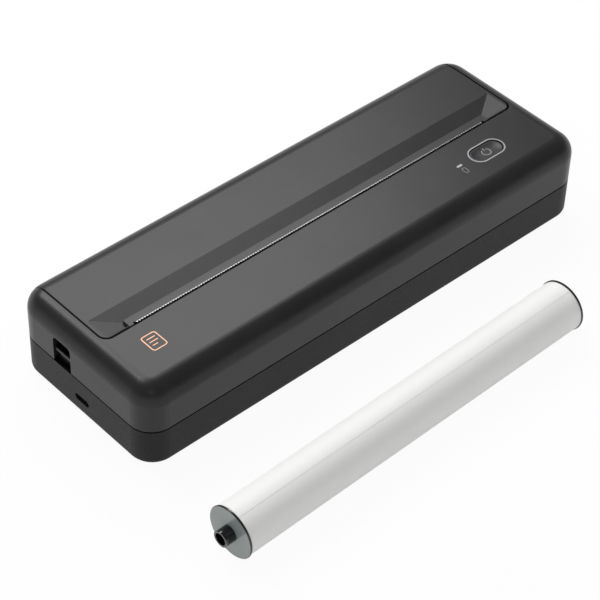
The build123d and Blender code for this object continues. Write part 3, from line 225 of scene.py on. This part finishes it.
# Diffusing polycarbonate of the ring round the button: milky light grey on its land. Its inner flank, which
# drops down beside the cap, is painted dark as shade.
cap_x, cap_y = 94.9 * mm, -22.7 * mm
cap_straight = 4.85 * mm              # from the cap's middle to where its round ends begin
flank_radius, land_radius = 5.22 * mm, 5.34 * mm
ring_diffuser, tree, shader, place = new_finish("polycarbonate_diffusing_grey", IOR=1.58)
parts = add(tree, "SeparateXYZ", {0: place})
side = apart(tree, parts.outputs[0], cap_x)
side = add(tree, "Math", {0: side}, {1: cap_straight}, operation="SUBTRACT", use_clamp=True)
deep = apart(tree, parts.outputs[1], cap_y)
deep = add(tree, "Math", {0: deep, 1: deep}, operation="MULTIPLY")
far = add(tree, "Math", {0: side.outputs[0], 1: side.outputs[0], 2: deep.outputs[0]},
          operation="MULTIPLY_ADD")
far = add(tree, "Math", {0: far.outputs[0]}, operation="SQRT")
unshaded_land = spread(tree, far.outputs[0], 0.0, 1.0, flank_radius, land_radius)
cloud = noise(tree, place, grain(0.5), 2.0)
pale = blend(tree, cloud, "#adadb0", "#9c9c9f")
# Inside flank_radius the ring takes the painted shade colour #343436.
skin = add(tree, "Mix", {0: unshaded_land, 7: pale}, {6: colour("#343436")}, data_type="RGBA")
tree.links.new(skin.outputs[2], shader.inputs["Base Color"])
glossed(tree, shader, cloud, 0.28, 0.36)
raised(tree, shader, cloud, 3e-6)
# Polycarbonate of the light guides. The long one has a frosted end, which looks pale; the small
# round one in front of it is smoked, and dark while its lamp is off.
smoked_until, frosted_from = -24.9 * mm, -24.7 * mm
light_guide, tree, shader, place = new_finish("polycarbonate_frosted_guide", IOR=1.58)
across = add(tree, "SeparateXYZ", {0: place}).outputs[1]
frost = spread(tree, across, 0.0, 1.0, smoked_until, frosted_from)
cloud = noise(tree, place, grain(0.8), 2.0)
pale = blend(tree, cloud, "#c3c4c4", "#aeb0b0")
skin = add(tree, "Mix", {0: frost, 7: pale}, {6: colour("#2b2b2c")}, data_type="RGBA")
tree.links.new(skin.outputs[2], shader.inputs["Base Color"])
glossed(tree, shader, cloud, 0.16, 0.26)
# Natural acetal of the gears: milky white, waxy.
gear_acetal = moulded("acetal_natural_gears", "#e2ded2", "#d3cfc2", (0.30, 0.40), 0.8, 6e-6,
                      IOR=1.48, Subsurface_Weight=0.12, Subsurface_Scale=0.001)
# Polished ABS of the roll's hubs: black with a hard shine.
hub_abs = moulded("abs_polished_black_hub", "#0c1211", "#060a09", (0.12, 0.20), 1.0, 2e-6, Coat_Weight=0.3)
# Bearing-grade acetal of the bushings.
bushing_acetal = moulded("acetal_black_bearing", "#161617", "#0f0f10", (0.34, 0.44), 0.8, 5e-6)
# Moulded epoxy of the chips and the switch: charcoal, fine grain.
chip_epoxy = moulded("epoxy_moulded_charcoal", "#232326", "#18181a", (0.50, 0.62), 0.35, 8e-6)
# Cast silicone of the lamps' lenses.
lamp_silicone = moulded("silicone_lamp_lens", "#f0ecd2", "#e4dfc0", (0.20, 0.30), 0.8, 4e-6,
                        Subsurface_Weight=0.2, Subsurface_Scale=0.001)
# Silicone rubber ground true on a wheel: dark grey, dull, with fine rings across its length.
platen_silicone, tree, shader, place = new_finish("silicone_ground_platen", Specular_IOR_Level=0.3)
ground = add(tree, "TexWave", {"Vector": place}, {"Scale": grain(2.4), "Distortion": 2.0, "Detail": 2.0},
             wave_type="BANDS", bands_direction="X")
dust = noise(tree, place, grain(0.8), 3.0)
tinted(tree, shader, dust, "#4a4a4c", "#3a3a3c")
glossed(tree, shader, dust, 0.62, 0.78)
raised(tree, shader, ground.outputs["Fac"], 8e-6)
# Thermoplastic rubber of the feet: soft black with a pebbled face.
foot_rubber, tree, shader, place = new_finish("rubber_pebbled_feet", Specular_IOR_Level=0.3)
pebble = add(tree, "TexVoronoi", {"Vector": place}, {"Scale": grain(0.8)}, feature="F1").outputs["Distance"]
tinted(tree, shader, pebble, "#171718", "#232325")
glossed(tree, shader, pebble, 0.60, 0.78)
raised(tree, shader, pebble, 4e-5)

# Ground bright steel of shafts, pins, posts and springs: the grinding lines run across the length.
shaft_steel = drawn("steel_ground_bright", "#b9b9bb", "#97979a", (0.18, 0.30), 0.25, "Y", 3e-6)
# Zinc-plated sheet: a grey skin with soft spangle and rolled lines.
plate_zinc = drawn("steel_zinc_plated_sheet", "#adafb1", "#8f9194", (0.30, 0.44), 0.5, "Z", 4e-6)
# Steel tear bar under a dark grey satin coat, which is ground off the teeth alone, so that they
# glint. The grinding starts 0.8 mm behind their points and stops short of the bar's two ends.
coat_until, bare_from = -5.36 * mm, -5.46 * mm
bar_middle, bare_half = -1.2 * mm, 111.2 * mm
bar_coated, tree, shader, place = new_finish("steel_coated_ground_teeth", Specular_IOR_Level=0.36)
parts = add(tree, "SeparateXYZ", {0: place})
ahead = spread(tree, parts.outputs[1], 0.0, 1.0, coat_until, bare_from)
reach = apart(tree, parts.outputs[0], bar_middle)
within = add(tree, "Math", {0: reach}, {1: bare_half}, operation="LESS_THAN")
bare = add(tree, "Math", {0: ahead, 1: within.outputs[0]}, operation="MULTIPLY").outputs[0]
speck = noise(tree, place, grain(0.6), 2.0)
coat = blend(tree, speck, "#2e2e30", "#262628")
steel = blend(tree, speck, "#a3a4a6", "#7f8082")
skin = add(tree, "Mix", {0: bare, 6: coat, 7: steel}, data_type="RGBA")
tree.links.new(skin.outputs[2], shader.inputs["Base Color"])
tree.links.new(bare, shader.inputs["Metallic"])
glossed(tree, shader, speck, 0.32, 0.40)
raised(tree, shader, speck, 5e-6)
# Bare extruded aluminium of the heat sink.
sink_aluminium = drawn("aluminium_extruded_bare", "#c5c6c8", "#a9aaad", (0.30, 0.42), 0.5, "X", 6e-6)
# Nickel-plated strip, faintly warm.
strap_nickel = drawn("nickel_plated_strip", "#c9c4b8", "#b0aba0", (0.22, 0.34), 0.4, "Y", 3e-6)
# Tin-plated steel of the socket shell.
socket_tin = drawn("steel_tin_plated_shell", "#a9aaad", "#87888b", (0.24, 0.36), 0.4, "X", 3e-6)

# Alumina under a grey-brown glaze, with the gloss of glass.
head_glaze = moulded("alumina_glazed_head", "#6d675c", "#5b564c", (0.10, 0.20), 1.4, 2e-6, Coat_Weight=0.5)
# Circuit board: green lacquer over copper, whose tracks show as slightly lighter lines.
board_lacquer, tree, shader, place = new_finish("glass_epoxy_green_lacquer", Coat_Weight=0.3)
lay = add(tree, "Mapping", {"Vector": place}, {"Scale": (grain(2.2), grain(2.2), grain(40))})
track = add(tree, "TexVoronoi", {"Vector": lay.outputs[0]}, {"Scale": 1.0}, feature="F1",
            distance="CHEBYCHEV")
line = add(tree, "Math", {0: track.outputs["Distance"]}, {1: 9.0}, operation="MULTIPLY")
comb = add(tree, "Math", {0: line.outputs[0]}, operation="FRACT").outputs[0]
edge = spread(tree, comb, 0.0, 1.0, 0.45, 0.55)
tinted(tree, shader, edge, "#1f6a43", "#134a2e")
glossed(tree, shader, comb, 0.24, 0.34)
raised(tree, shader, edge, 2e-5)
# Shrink wrap of the cells and the film round them: glossy, faintly rippled.
cell_shrink = moulded("pvc_shrink_wrap_teal", "#1f5a78", "#18475f", (0.16, 0.28), 3.0, 3e-5, Coat_Weight=0.2)
sleeve_film = moulded("polyester_film_blue", "#1d5c93", "#174a78", (0.14, 0.24), 5.0, 5e-5, Coat_Weight=0.2)


# The loose roll: its turn about Z, the middle of its axis, and where a disc's painted rim shade begins and is
# full.
roll_turn = math.radians(1.2)
roll_centre = Vector((-35.0233, -102.6259, 13.2)) * mm
rim_shade_begins, rim_shade_full = 12.86 * mm, 12.94 * mm


def wound(name, light, dark, layer, gloss, depth, crease=0.0, painted_rim_shade=None, **values):
    """Something round the roll's axis: thin rings on its ends and faint marks along it. crease metres of
    slack lie along it, and painted_rim_shade, if given, is a colour painted on a disc's rim as shade."""
    made, tree, shader, place = new_finish(name, **values)
    level = add(tree, "Mapping", {"Vector": place},
                {"Location": roll_centre * -1}, vector_type="POINT")
    turned = add(tree, "Mapping", {"Vector": level.outputs[0]}, {"Rotation": (0, 0, -roll_turn)})
    parts = add(tree, "SeparateXYZ", {0: turned.outputs[0]})
    square_y = add(tree, "Math", {0: parts.outputs[1], 1: parts.outputs[1]}, operation="MULTIPLY")
    square = add(tree, "Math", {0: parts.outputs[2], 1: parts.outputs[2], 2: square_y.outputs[0]},
                 operation="MULTIPLY_ADD")
    radius = add(tree, "Math", {0: square.outputs[0]}, operation="SQRT")
    count = add(tree, "Math", {0: radius.outputs[0]}, {1: 1.0 / layer}, operation="MULTIPLY")
    ring = add(tree, "Math", {0: count.outputs[0]}, {1: 1.0}, operation="PINGPONG")
    fibre = noise(tree, turned.outputs[0], grain(4), 4.0)
    both = add(tree, "Math", {0: ring.outputs[0], 1: fibre}, operation="MULTIPLY")
    skin = tinted(tree, shader, both.outputs[0], light, dark)
    glossed(tree, shader, fibre, *gloss)
    if crease:
        lay = add(tree, "Mapping", {"Vector": turned.outputs[0]}, {"Scale": (grain(26), grain(9), grain(9))})
        slack = noise(tree, lay.outputs[0], 1.0, 2.0)
        both = add(tree, "Math", {0: slack, 2: both.outputs[0]}, {1: crease / depth},
                   operation="MULTIPLY_ADD")
    raised(tree, shader, both.outputs[0], depth)
    if painted_rim_shade:
        # The rim beyond rim_shade_begins is painted dark as shade.
        outer = spread(tree, radius.outputs[0], 0.0, 1.0, rim_shade_begins, rim_shade_full)
        edge = add(tree, "Mix", {0: outer, 6: skin}, {7: colour(painted_rim_shade)}, data_type="RGBA")
        tree.links.new(edge.outputs[2], shader.inputs["Base Color"])
    return made


# Thermal paper: a smooth coated white with the faintest sheen. Its sheets are 0.06 mm thick and
# the rings on its ends are drawn 0.4 mm wide, because finer ones would not show.
roll_white = wound("paper_thermal_coated_white", "#fafaf8", "#f1f1ee", 0.0004, (0.42, 0.55), 2e-5,
                   crease=1.1e-4, Specular_IOR_Level=0.3)
# Wound grey board of the core.
core_board = wound("card_wound_grey_core", "#a79d8b", "#877e6e", 0.0005, (0.75, 0.90), 4e-5,
                   Specular_IOR_Level=0.2)
# Smoke grey polystyrene of the end discs, drawn opaque: the soft grey of its face is painted light from the
# white roll behind it, and the near-black of its rim is painted shade, where nothing pale lies behind it.
disc_smoke = wound("polystyrene_smoke_grey_disc", "#8f9897", "#889190", 0.0008, (0.14, 0.22), 3e-6,
                   painted_rim_shade="#161c1b", Coat_Weight=0.2)
# Copper foil, hot-stamped on the deck: warm and satin, a little broken up by the grain under it.
foil_copper = moulded("copper_hot_stamped_foil", "#e3b596", "#d09a78", (0.34, 0.50), 0.4, 6e-6, Metallic=0.35)
# Grey pad-printing ink of the two signs.
sign_ink = moulded("ink_pad_printed_grey", "#a8a4a2", "#96928f", (0.45, 0.60), 0.4, 3e-6)

node_finish = {
    "lower_case": base_abs, "upper_case": deck_abs, "rubber_feet": foot_rubber, "case_screws": plate_zinc,
    "lid_shell": cover_abs, "lid_frame": frame_nylon, "tear_bar": bar_coated, "hinge_pins": shaft_steel,
    "platen_bushings": bushing_acetal, "platen_shaft": shaft_steel, "platen_rubber": platen_silicone,
    "platen_gear": gear_acetal, "idler_gear": gear_acetal, "reduction_gear": gear_acetal,
    "motor_pinion": gear_acetal, "motor_shaft": shaft_steel, "stepper_motor": plate_zinc,
    "gear_posts": shaft_steel, "left_side_plate": plate_zinc, "drive_side_plate": plate_zinc,
    "head_board": head_glaze, "heat_sink": sink_aluminium, "head_bracket": plate_zinc,
    "spring_beam": plate_zinc, "head_springs": shaft_steel, "paper_tray": frame_nylon,
    "paper_guide": frame_nylon, "paper_sensor": chip_epoxy, "battery_cell_left": cell_shrink,
    "battery_cell_right": cell_shrink, "cell_strap": strap_nickel, "battery_sleeve": sleeve_film,
    "main_board": board_lacquer, "power_switch": chip_epoxy, "board_chips": chip_epoxy,
    "indicator_lamps": lamp_silicone, "light_pipes": light_guide, "button_ring": ring_diffuser,
    "power_button": cap_abs, "usb_board": board_lacquer, "usb_socket": socket_tin,
    "release_slider": slider_abs, "slider_spring": shaft_steel, "latch_shaft": shaft_steel,
    "latch_crank": frame_nylon, "latch_hook_left": frame_nylon, "latch_hook_right": frame_nylon,
    "roll_paper": roll_white, "roll_core": core_board, "roll_flange_left": disc_smoke,
    "roll_flange_right": disc_smoke, "roll_hub_left": hub_abs, "roll_hub_right": hub_abs,
}
for name, finish in node_finish.items():
    nodes[name].data.materials.clear()
    nodes[name].data.materials.append(finish)

# ---------------------------------------------------------------- printed signs and the paper's tail


def start(name, add_primitive, **shape):
    """A primitive under that name, with nothing else selected, in edit mode and selected all over."""
    bpy.ops.object.select_all(action="DESELECT")
    add_primitive(**shape)
    made = bpy.context.object
    made.name = name
    bpy.ops.object.mode_set(mode="EDIT")
    bpy.ops.mesh.select_all(action="SELECT")
    return made


def pick_faces(made, test):
    """Selects the faces whose middle passes the test."""
    bpy.ops.mesh.select_all(action="DESELECT")
    bpy.ops.mesh.select_mode(type="FACE")
    bpy.ops.object.mode_set(mode="OBJECT")
    for face in made.data.polygons:
        face.select = test(face.center)
    bpy.ops.object.mode_set(mode="EDIT")


print_lift = 0.004 * mm       # the ink's underside over the face that it is printed on


def inked(made, ground, thickness, finish, body):
    """Lays a flat outline down on the node under it, gives it the ink's thickness, and dresses it."""
    bpy.ops.object.mode_set(mode="OBJECT")
    bpy.ops.object.transform_apply(location=True, rotation=True, scale=True)
    if sum(face.normal.z for face in made.data.polygons) < 0:
        made.data.flip_normals()
    lay = made.modifiers.new("lay", "SHRINKWRAP")
    lay.target = nodes[ground]
    lay.wrap_method = "PROJECT"
    lay.use_project_z = True
    lay.use_negative_direction = True
    lay.use_positive_direction = True
    lay.offset = print_lift
    bpy.ops.object.modifier_apply(modifier=lay.name)
    thick = made.modifiers.new("thick", "SOLIDIFY")
    thick.thickness = thickness
    thick.offset = 1.0
    bpy.ops.object.modifier_apply(modifier=thick.name)
    made.data.materials.append(finish)
    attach(made, body)


def patch(name, centre, width, height, level):
    """A flat rectangle at that level over the floor, with its centre at an (x, y)."""
    middle = (centre[0], centre[1], level)
    made = start(name, bpy.ops.mesh.primitive_plane_add, size=1.0, location=middle)
    bpy.ops.transform.resize(value=(width, height, 1.0), center_override=middle)
    return made


def outline(name, centre, width, height, corner, line, steps, level):
    """A rounded rectangle as a band of that line width, with no middle."""
    made = patch(name, centre, width, height, level)
    bpy.ops.mesh.bevel(offset=corner, segments=steps, affect="VERTICES", offset_type="OFFSET")
    bpy.ops.mesh.select_all(action="SELECT")
    bpy.ops.mesh.inset(thickness=line, depth=0.0)
    bpy.ops.mesh.delete(type="FACE")
    return made


def stroke(name, centre, width, height, level):
    """A short line with round ends."""
    made = patch(name, centre, width, height, level)
    almost_half = 0.499       # the two rounded corners of an end must not quite meet
    bpy.ops.mesh.bevel(offset=min(width, height) * almost_half, segments=5, affect="VERTICES",
                       offset_type="OFFSET")
    return made


# Where the power sign is printed, how high the cap and the deck are, and how thick the prints are.
sign_x, sign_y = 94.7 * mm, -23.0 * mm
cap_z = 46.3 * mm
deck_z = 46.8 * mm
cap_print = 0.03 * mm
deck_print = 0.016 * mm

# The ring of the power sign, open towards the lid, and the short line in its opening.
ring_radius, ring_line = 2.35 * mm, 0.42 * mm
ring_open = 0.86              # share of the radius beyond which the ring is left out
ring_inside, ring_outside = ring_radius - ring_line / 2, ring_radius + ring_line / 2
power_ring = start("power_sign_ring", bpy.ops.mesh.primitive_circle_add, vertices=72,
                   radius=ring_inside, location=(sign_x, sign_y, cap_z))
bpy.ops.mesh.extrude_region_move()
bpy.ops.transform.resize(value=(ring_outside / ring_inside, ring_outside / ring_inside, 1.0),
                         center_override=(sign_x, sign_y, cap_z))
pick_faces(power_ring, lambda c: c.y > ring_radius * ring_open)
bpy.ops.mesh.delete(type="FACE")
inked(power_ring, "power_button", cap_print, sign_ink, "button")
power_stem = stroke("power_sign_stem", (sign_x, sign_y + 2.2 * mm), ring_line, 2.1 * mm, cap_z)
inked(power_stem, "power_button", cap_print, sign_ink, "button")

# A small sign for the wireless link: an outline round its light.
link_sign = outline("link_sign", (76.3 * mm, -26.8 * mm), 2.3 * mm, 4.0 * mm, corner=0.9 * mm,
                    line=0.26 * mm, steps=5, level=deck_z)
inked(link_sign, "upper_case", deck_print, sign_ink, "case")

# A plain sign of a sheet with three lines, stamped in foil at the corner of the deck.
sheet_x, sheet_y = -112.9 * mm, -20.4 * mm
sheet_line = 0.55 * mm
full_width = 4.8              # the longest line's, in millimetres; the others start where it does
sheet_sign = outline("sheet_sign", (sheet_x, sheet_y), 8.4 * mm, 10.4 * mm, corner=1.5 * mm,
                     line=sheet_line, steps=6, level=deck_z)
inked(sheet_sign, "upper_case", deck_print, foil_copper, "case")
for number, (line_y, line_width) in enumerate(((2.5, 4.8), (0.3, 4.8), (-1.9, 3.2))):
    line_x = sheet_x - (full_width - line_width) / 2 * mm
    written = stroke(f"sheet_sign_line_{number + 1}", (line_x, sheet_y + line_y * mm),
                     line_width * mm, sheet_line, deck_z)
    inked(written, "upper_case", deck_print, foil_copper, "case")

# The free end of the paper: the outermost turn, which lies a little loose and ends in front of the
# top, so that its edge draws a line along the roll.
along = Vector((math.cos(roll_turn), math.sin(roll_turn), 0.0))
tail_length, tail_radius, tail_thick = 209.2 * mm, 12.77 * mm, 0.06 * mm
tail_front, tail_sweep = math.radians(18), math.radians(200)
tail_steps, tail_slices = 60, 56
outward = Vector((math.sin(roll_turn) * math.sin(tail_front), -math.cos(roll_turn) * math.sin(tail_front),
                  math.cos(tail_front)))
paper_tail = start("paper_tail", bpy.ops.mesh.primitive_plane_add, size=1.0,
                   location=roll_centre + outward * tail_radius,
                   rotation=(math.pi / 2 + tail_front, 0.0, roll_turn))
bpy.ops.object.mode_set(mode="OBJECT")
paper_tail.scale = (tail_length, tail_thick, 1.0)
bpy.ops.object.transform_apply(location=True, rotation=True, scale=True)
bpy.ops.object.mode_set(mode="EDIT")
bpy.ops.mesh.select_all(action="SELECT")
bpy.ops.mesh.spin(steps=tail_steps, angle=tail_sweep, center=roll_centre, axis=along)
for cut in range(1, tail_slices):
    bpy.ops.mesh.select_all(action="SELECT")
    bpy.ops.mesh.bisect(plane_co=roll_centre + along * tail_length * (cut / tail_slices - 0.5),
                        plane_no=along)
bpy.ops.mesh.select_all(action="SELECT")
bpy.ops.mesh.normals_make_consistent(inside=False)
bpy.ops.object.mode_set(mode="OBJECT")
slack = bpy.data.textures.new("paper_slack", "CLOUDS")
slack.noise_scale = 12 * mm
lift = paper_tail.modifiers.new("lift", "DISPLACE")
lift.texture = slack
lift.strength = 0.06 * mm
bpy.ops.object.modifier_apply(modifier=lift.name)
bpy.ops.object.shade_smooth_by_angle(angle=math.radians(40))
paper_tail.data.materials.append(roll_white)
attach(paper_tail, "roll")

# The slider's return spring, built here at one fixed length, though in the printer it shortens as the slider
# is pressed down by 3 mm: six turns of 0.4 mm wire, closed at both ends.
foot, head = (Vector(corner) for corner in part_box("slider_spring"))
wire, coil_radius, turns, steps_per_turn = 0.2 * mm, 1.15 * mm, 6, 22
height = head.z - foot.z - 2 * wire
return_spring = start("slider_return_spring", bpy.ops.mesh.primitive_circle_add, vertices=10, radius=wire,
                      location=((foot.x + head.x) / 2, (foot.y + head.y) / 2, foot.z + wire),
                      rotation=(math.pi / 2, 0.0, 0.0))
bpy.ops.transform.translate(value=(coil_radius, 0.0, 0.0))
bpy.ops.object.mode_set(mode="OBJECT")
bpy.ops.object.transform_apply(location=False, rotation=True, scale=True)
winding = return_spring.modifiers.new("winding", "SCREW")
winding.axis = "Z"
winding.screw_offset = height / turns
winding.iterations = turns
winding.steps = winding.render_steps = steps_per_turn
bpy.ops.object.modifier_apply(modifier=winding.name)
bpy.ops.object.mode_set(mode="EDIT")
bpy.ops.mesh.select_all(action="SELECT")
bpy.ops.mesh.fill_holes(sides=0)
bpy.ops.mesh.select_all(action="SELECT")
bpy.ops.mesh.normals_make_consistent(inside=False)
bpy.ops.object.mode_set(mode="OBJECT")
bpy.ops.object.transform_apply(location=True, rotation=True, scale=True)
bpy.ops.object.shade_smooth_by_angle(angle=math.radians(50))
return_spring.data.materials.append(shaft_steel)
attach(return_spring, "case")
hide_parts("slider_spring")
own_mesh(return_spring)

# ---------------------------------------------------------------- floor, light and camera

# Matte white paint. It glows faintly to the eye and in reflections, as a lit studio floor does,
# and keeps the object's soft shadow. The eye's share is the larger, so that the floor reads as
# white while the walls above it stay dark.
mirrored_glow, extra_for_eye = 0.86, 0.08
floor_paint, tree, shader, place = new_finish("paint_matte_white_floor", Specular_IOR_Level=0.1,
                                              Roughness=0.9)
tinted(tree, shader, noise(tree, place, 1.5, 2.0), "#fafafa", "#f6f6f6")
straight, seen = sight(tree)
part = add(tree, "Math", {0: seen}, {1: mirrored_glow}, operation="MULTIPLY")
part = add(tree, "Math", {0: straight, 2: part.outputs[0]}, {1: extra_for_eye}, operation="MULTIPLY_ADD")
glow = add(tree, "Emission", values={"Color": (1, 1, 1, 1), "Strength": 1.0})
both = add(tree, "MixShader", {0: part.outputs[0], 1: shader.outputs[0], 2: glow.outputs[0]})
tree.links.new(both.outputs[0], tree.nodes["Material Output"].inputs["Surface"])
bpy.ops.object.select_all(action="DESELECT")
bpy.ops.mesh.primitive_plane_add(size=16, location=(0.0, 0.0, -0.1 * mm))
floor = bpy.context.object
floor.name = "floor"
floor.data.materials.append(floor_paint)

world = bpy.data.worlds.new("studio")
scene.world = world
world.use_nodes = True
tree = world.node_tree
tree.nodes.clear()
# Pale round the horizon, a soft grey overhead; diffuse light is an even soft grey.
up = add(tree, "SeparateXYZ", {0: add(tree, "TexCoord").outputs["Generated"]})
horizon, overhead, diffuse_sky = 0.95, 0.22, 0.45
dome = spread(tree, up.outputs[2], horizon, overhead, 0.10, 0.30)
level = add(tree, "Mix", {0: sight(tree)[1], 3: dome}, {2: diffuse_sky})
sky = add(tree, "Background", {"Strength": level.outputs[0]}, {"Color": (1, 1, 1, 1)})
add(tree, "OutputWorld", {"Surface": sky.outputs[0]})


def lamp(name, kind, place, aim, energy, **settings):
    """A soft white lamp at place that points at aim."""
    data = bpy.data.lights.new(name, kind)
    data.energy = energy
    for key, value in settings.items():
        setattr(data, key, value)
    made = bpy.data.objects.new(name, data)
    scene.collection.objects.link(made)
    made.location = place
    made.rotation_euler = (Vector(aim) - Vector(place)).to_track_quat("-Z", "Y").to_euler()


lamp("overhead_soft_box", "AREA", (0.21, 0.71, 0.90), (-0.02, 0.02, 0.02), 8.3, shape="RECTANGLE", size=1.05,
     size_y=0.46)
lamp("narrow_strip", "AREA", (-0.20, 0.55, 0.90), (-0.10, 0.0, 0.04), 1.6, shape="RECTANGLE", size=0.10,
     size_y=0.55)
lamp("small_front_lamp", "AREA", (-0.62, -0.66, 0.86), (-0.10, -0.04, 0.04), 0.30, shape="SQUARE", size=0.14)

focal_pixels, picture_pixels = 2179.1948, 600.0
eye = bpy.data.cameras.new("camera")
eye.sensor_width = 36.0
eye.lens = focal_pixels * eye.sensor_width / picture_pixels
eye.clip_start = 0.05
eye.clip_end = 50.0
camera = bpy.data.objects.new("camera", eye)
scene.collection.objects.link(camera)
camera.matrix_world = Matrix((
    (0.7420563, 0.4455040, -0.5008779, -0.5396970),
    (-0.6698979, 0.5199046, -0.5300340, -0.5650367),
    (0.0242764, 0.7288521, 0.6842406, 0.7209943),
    (0.0, 0.0, 0.0, 1.0),
))
scene.camera = camera
scene.view_settings.view_transform = "Standard"
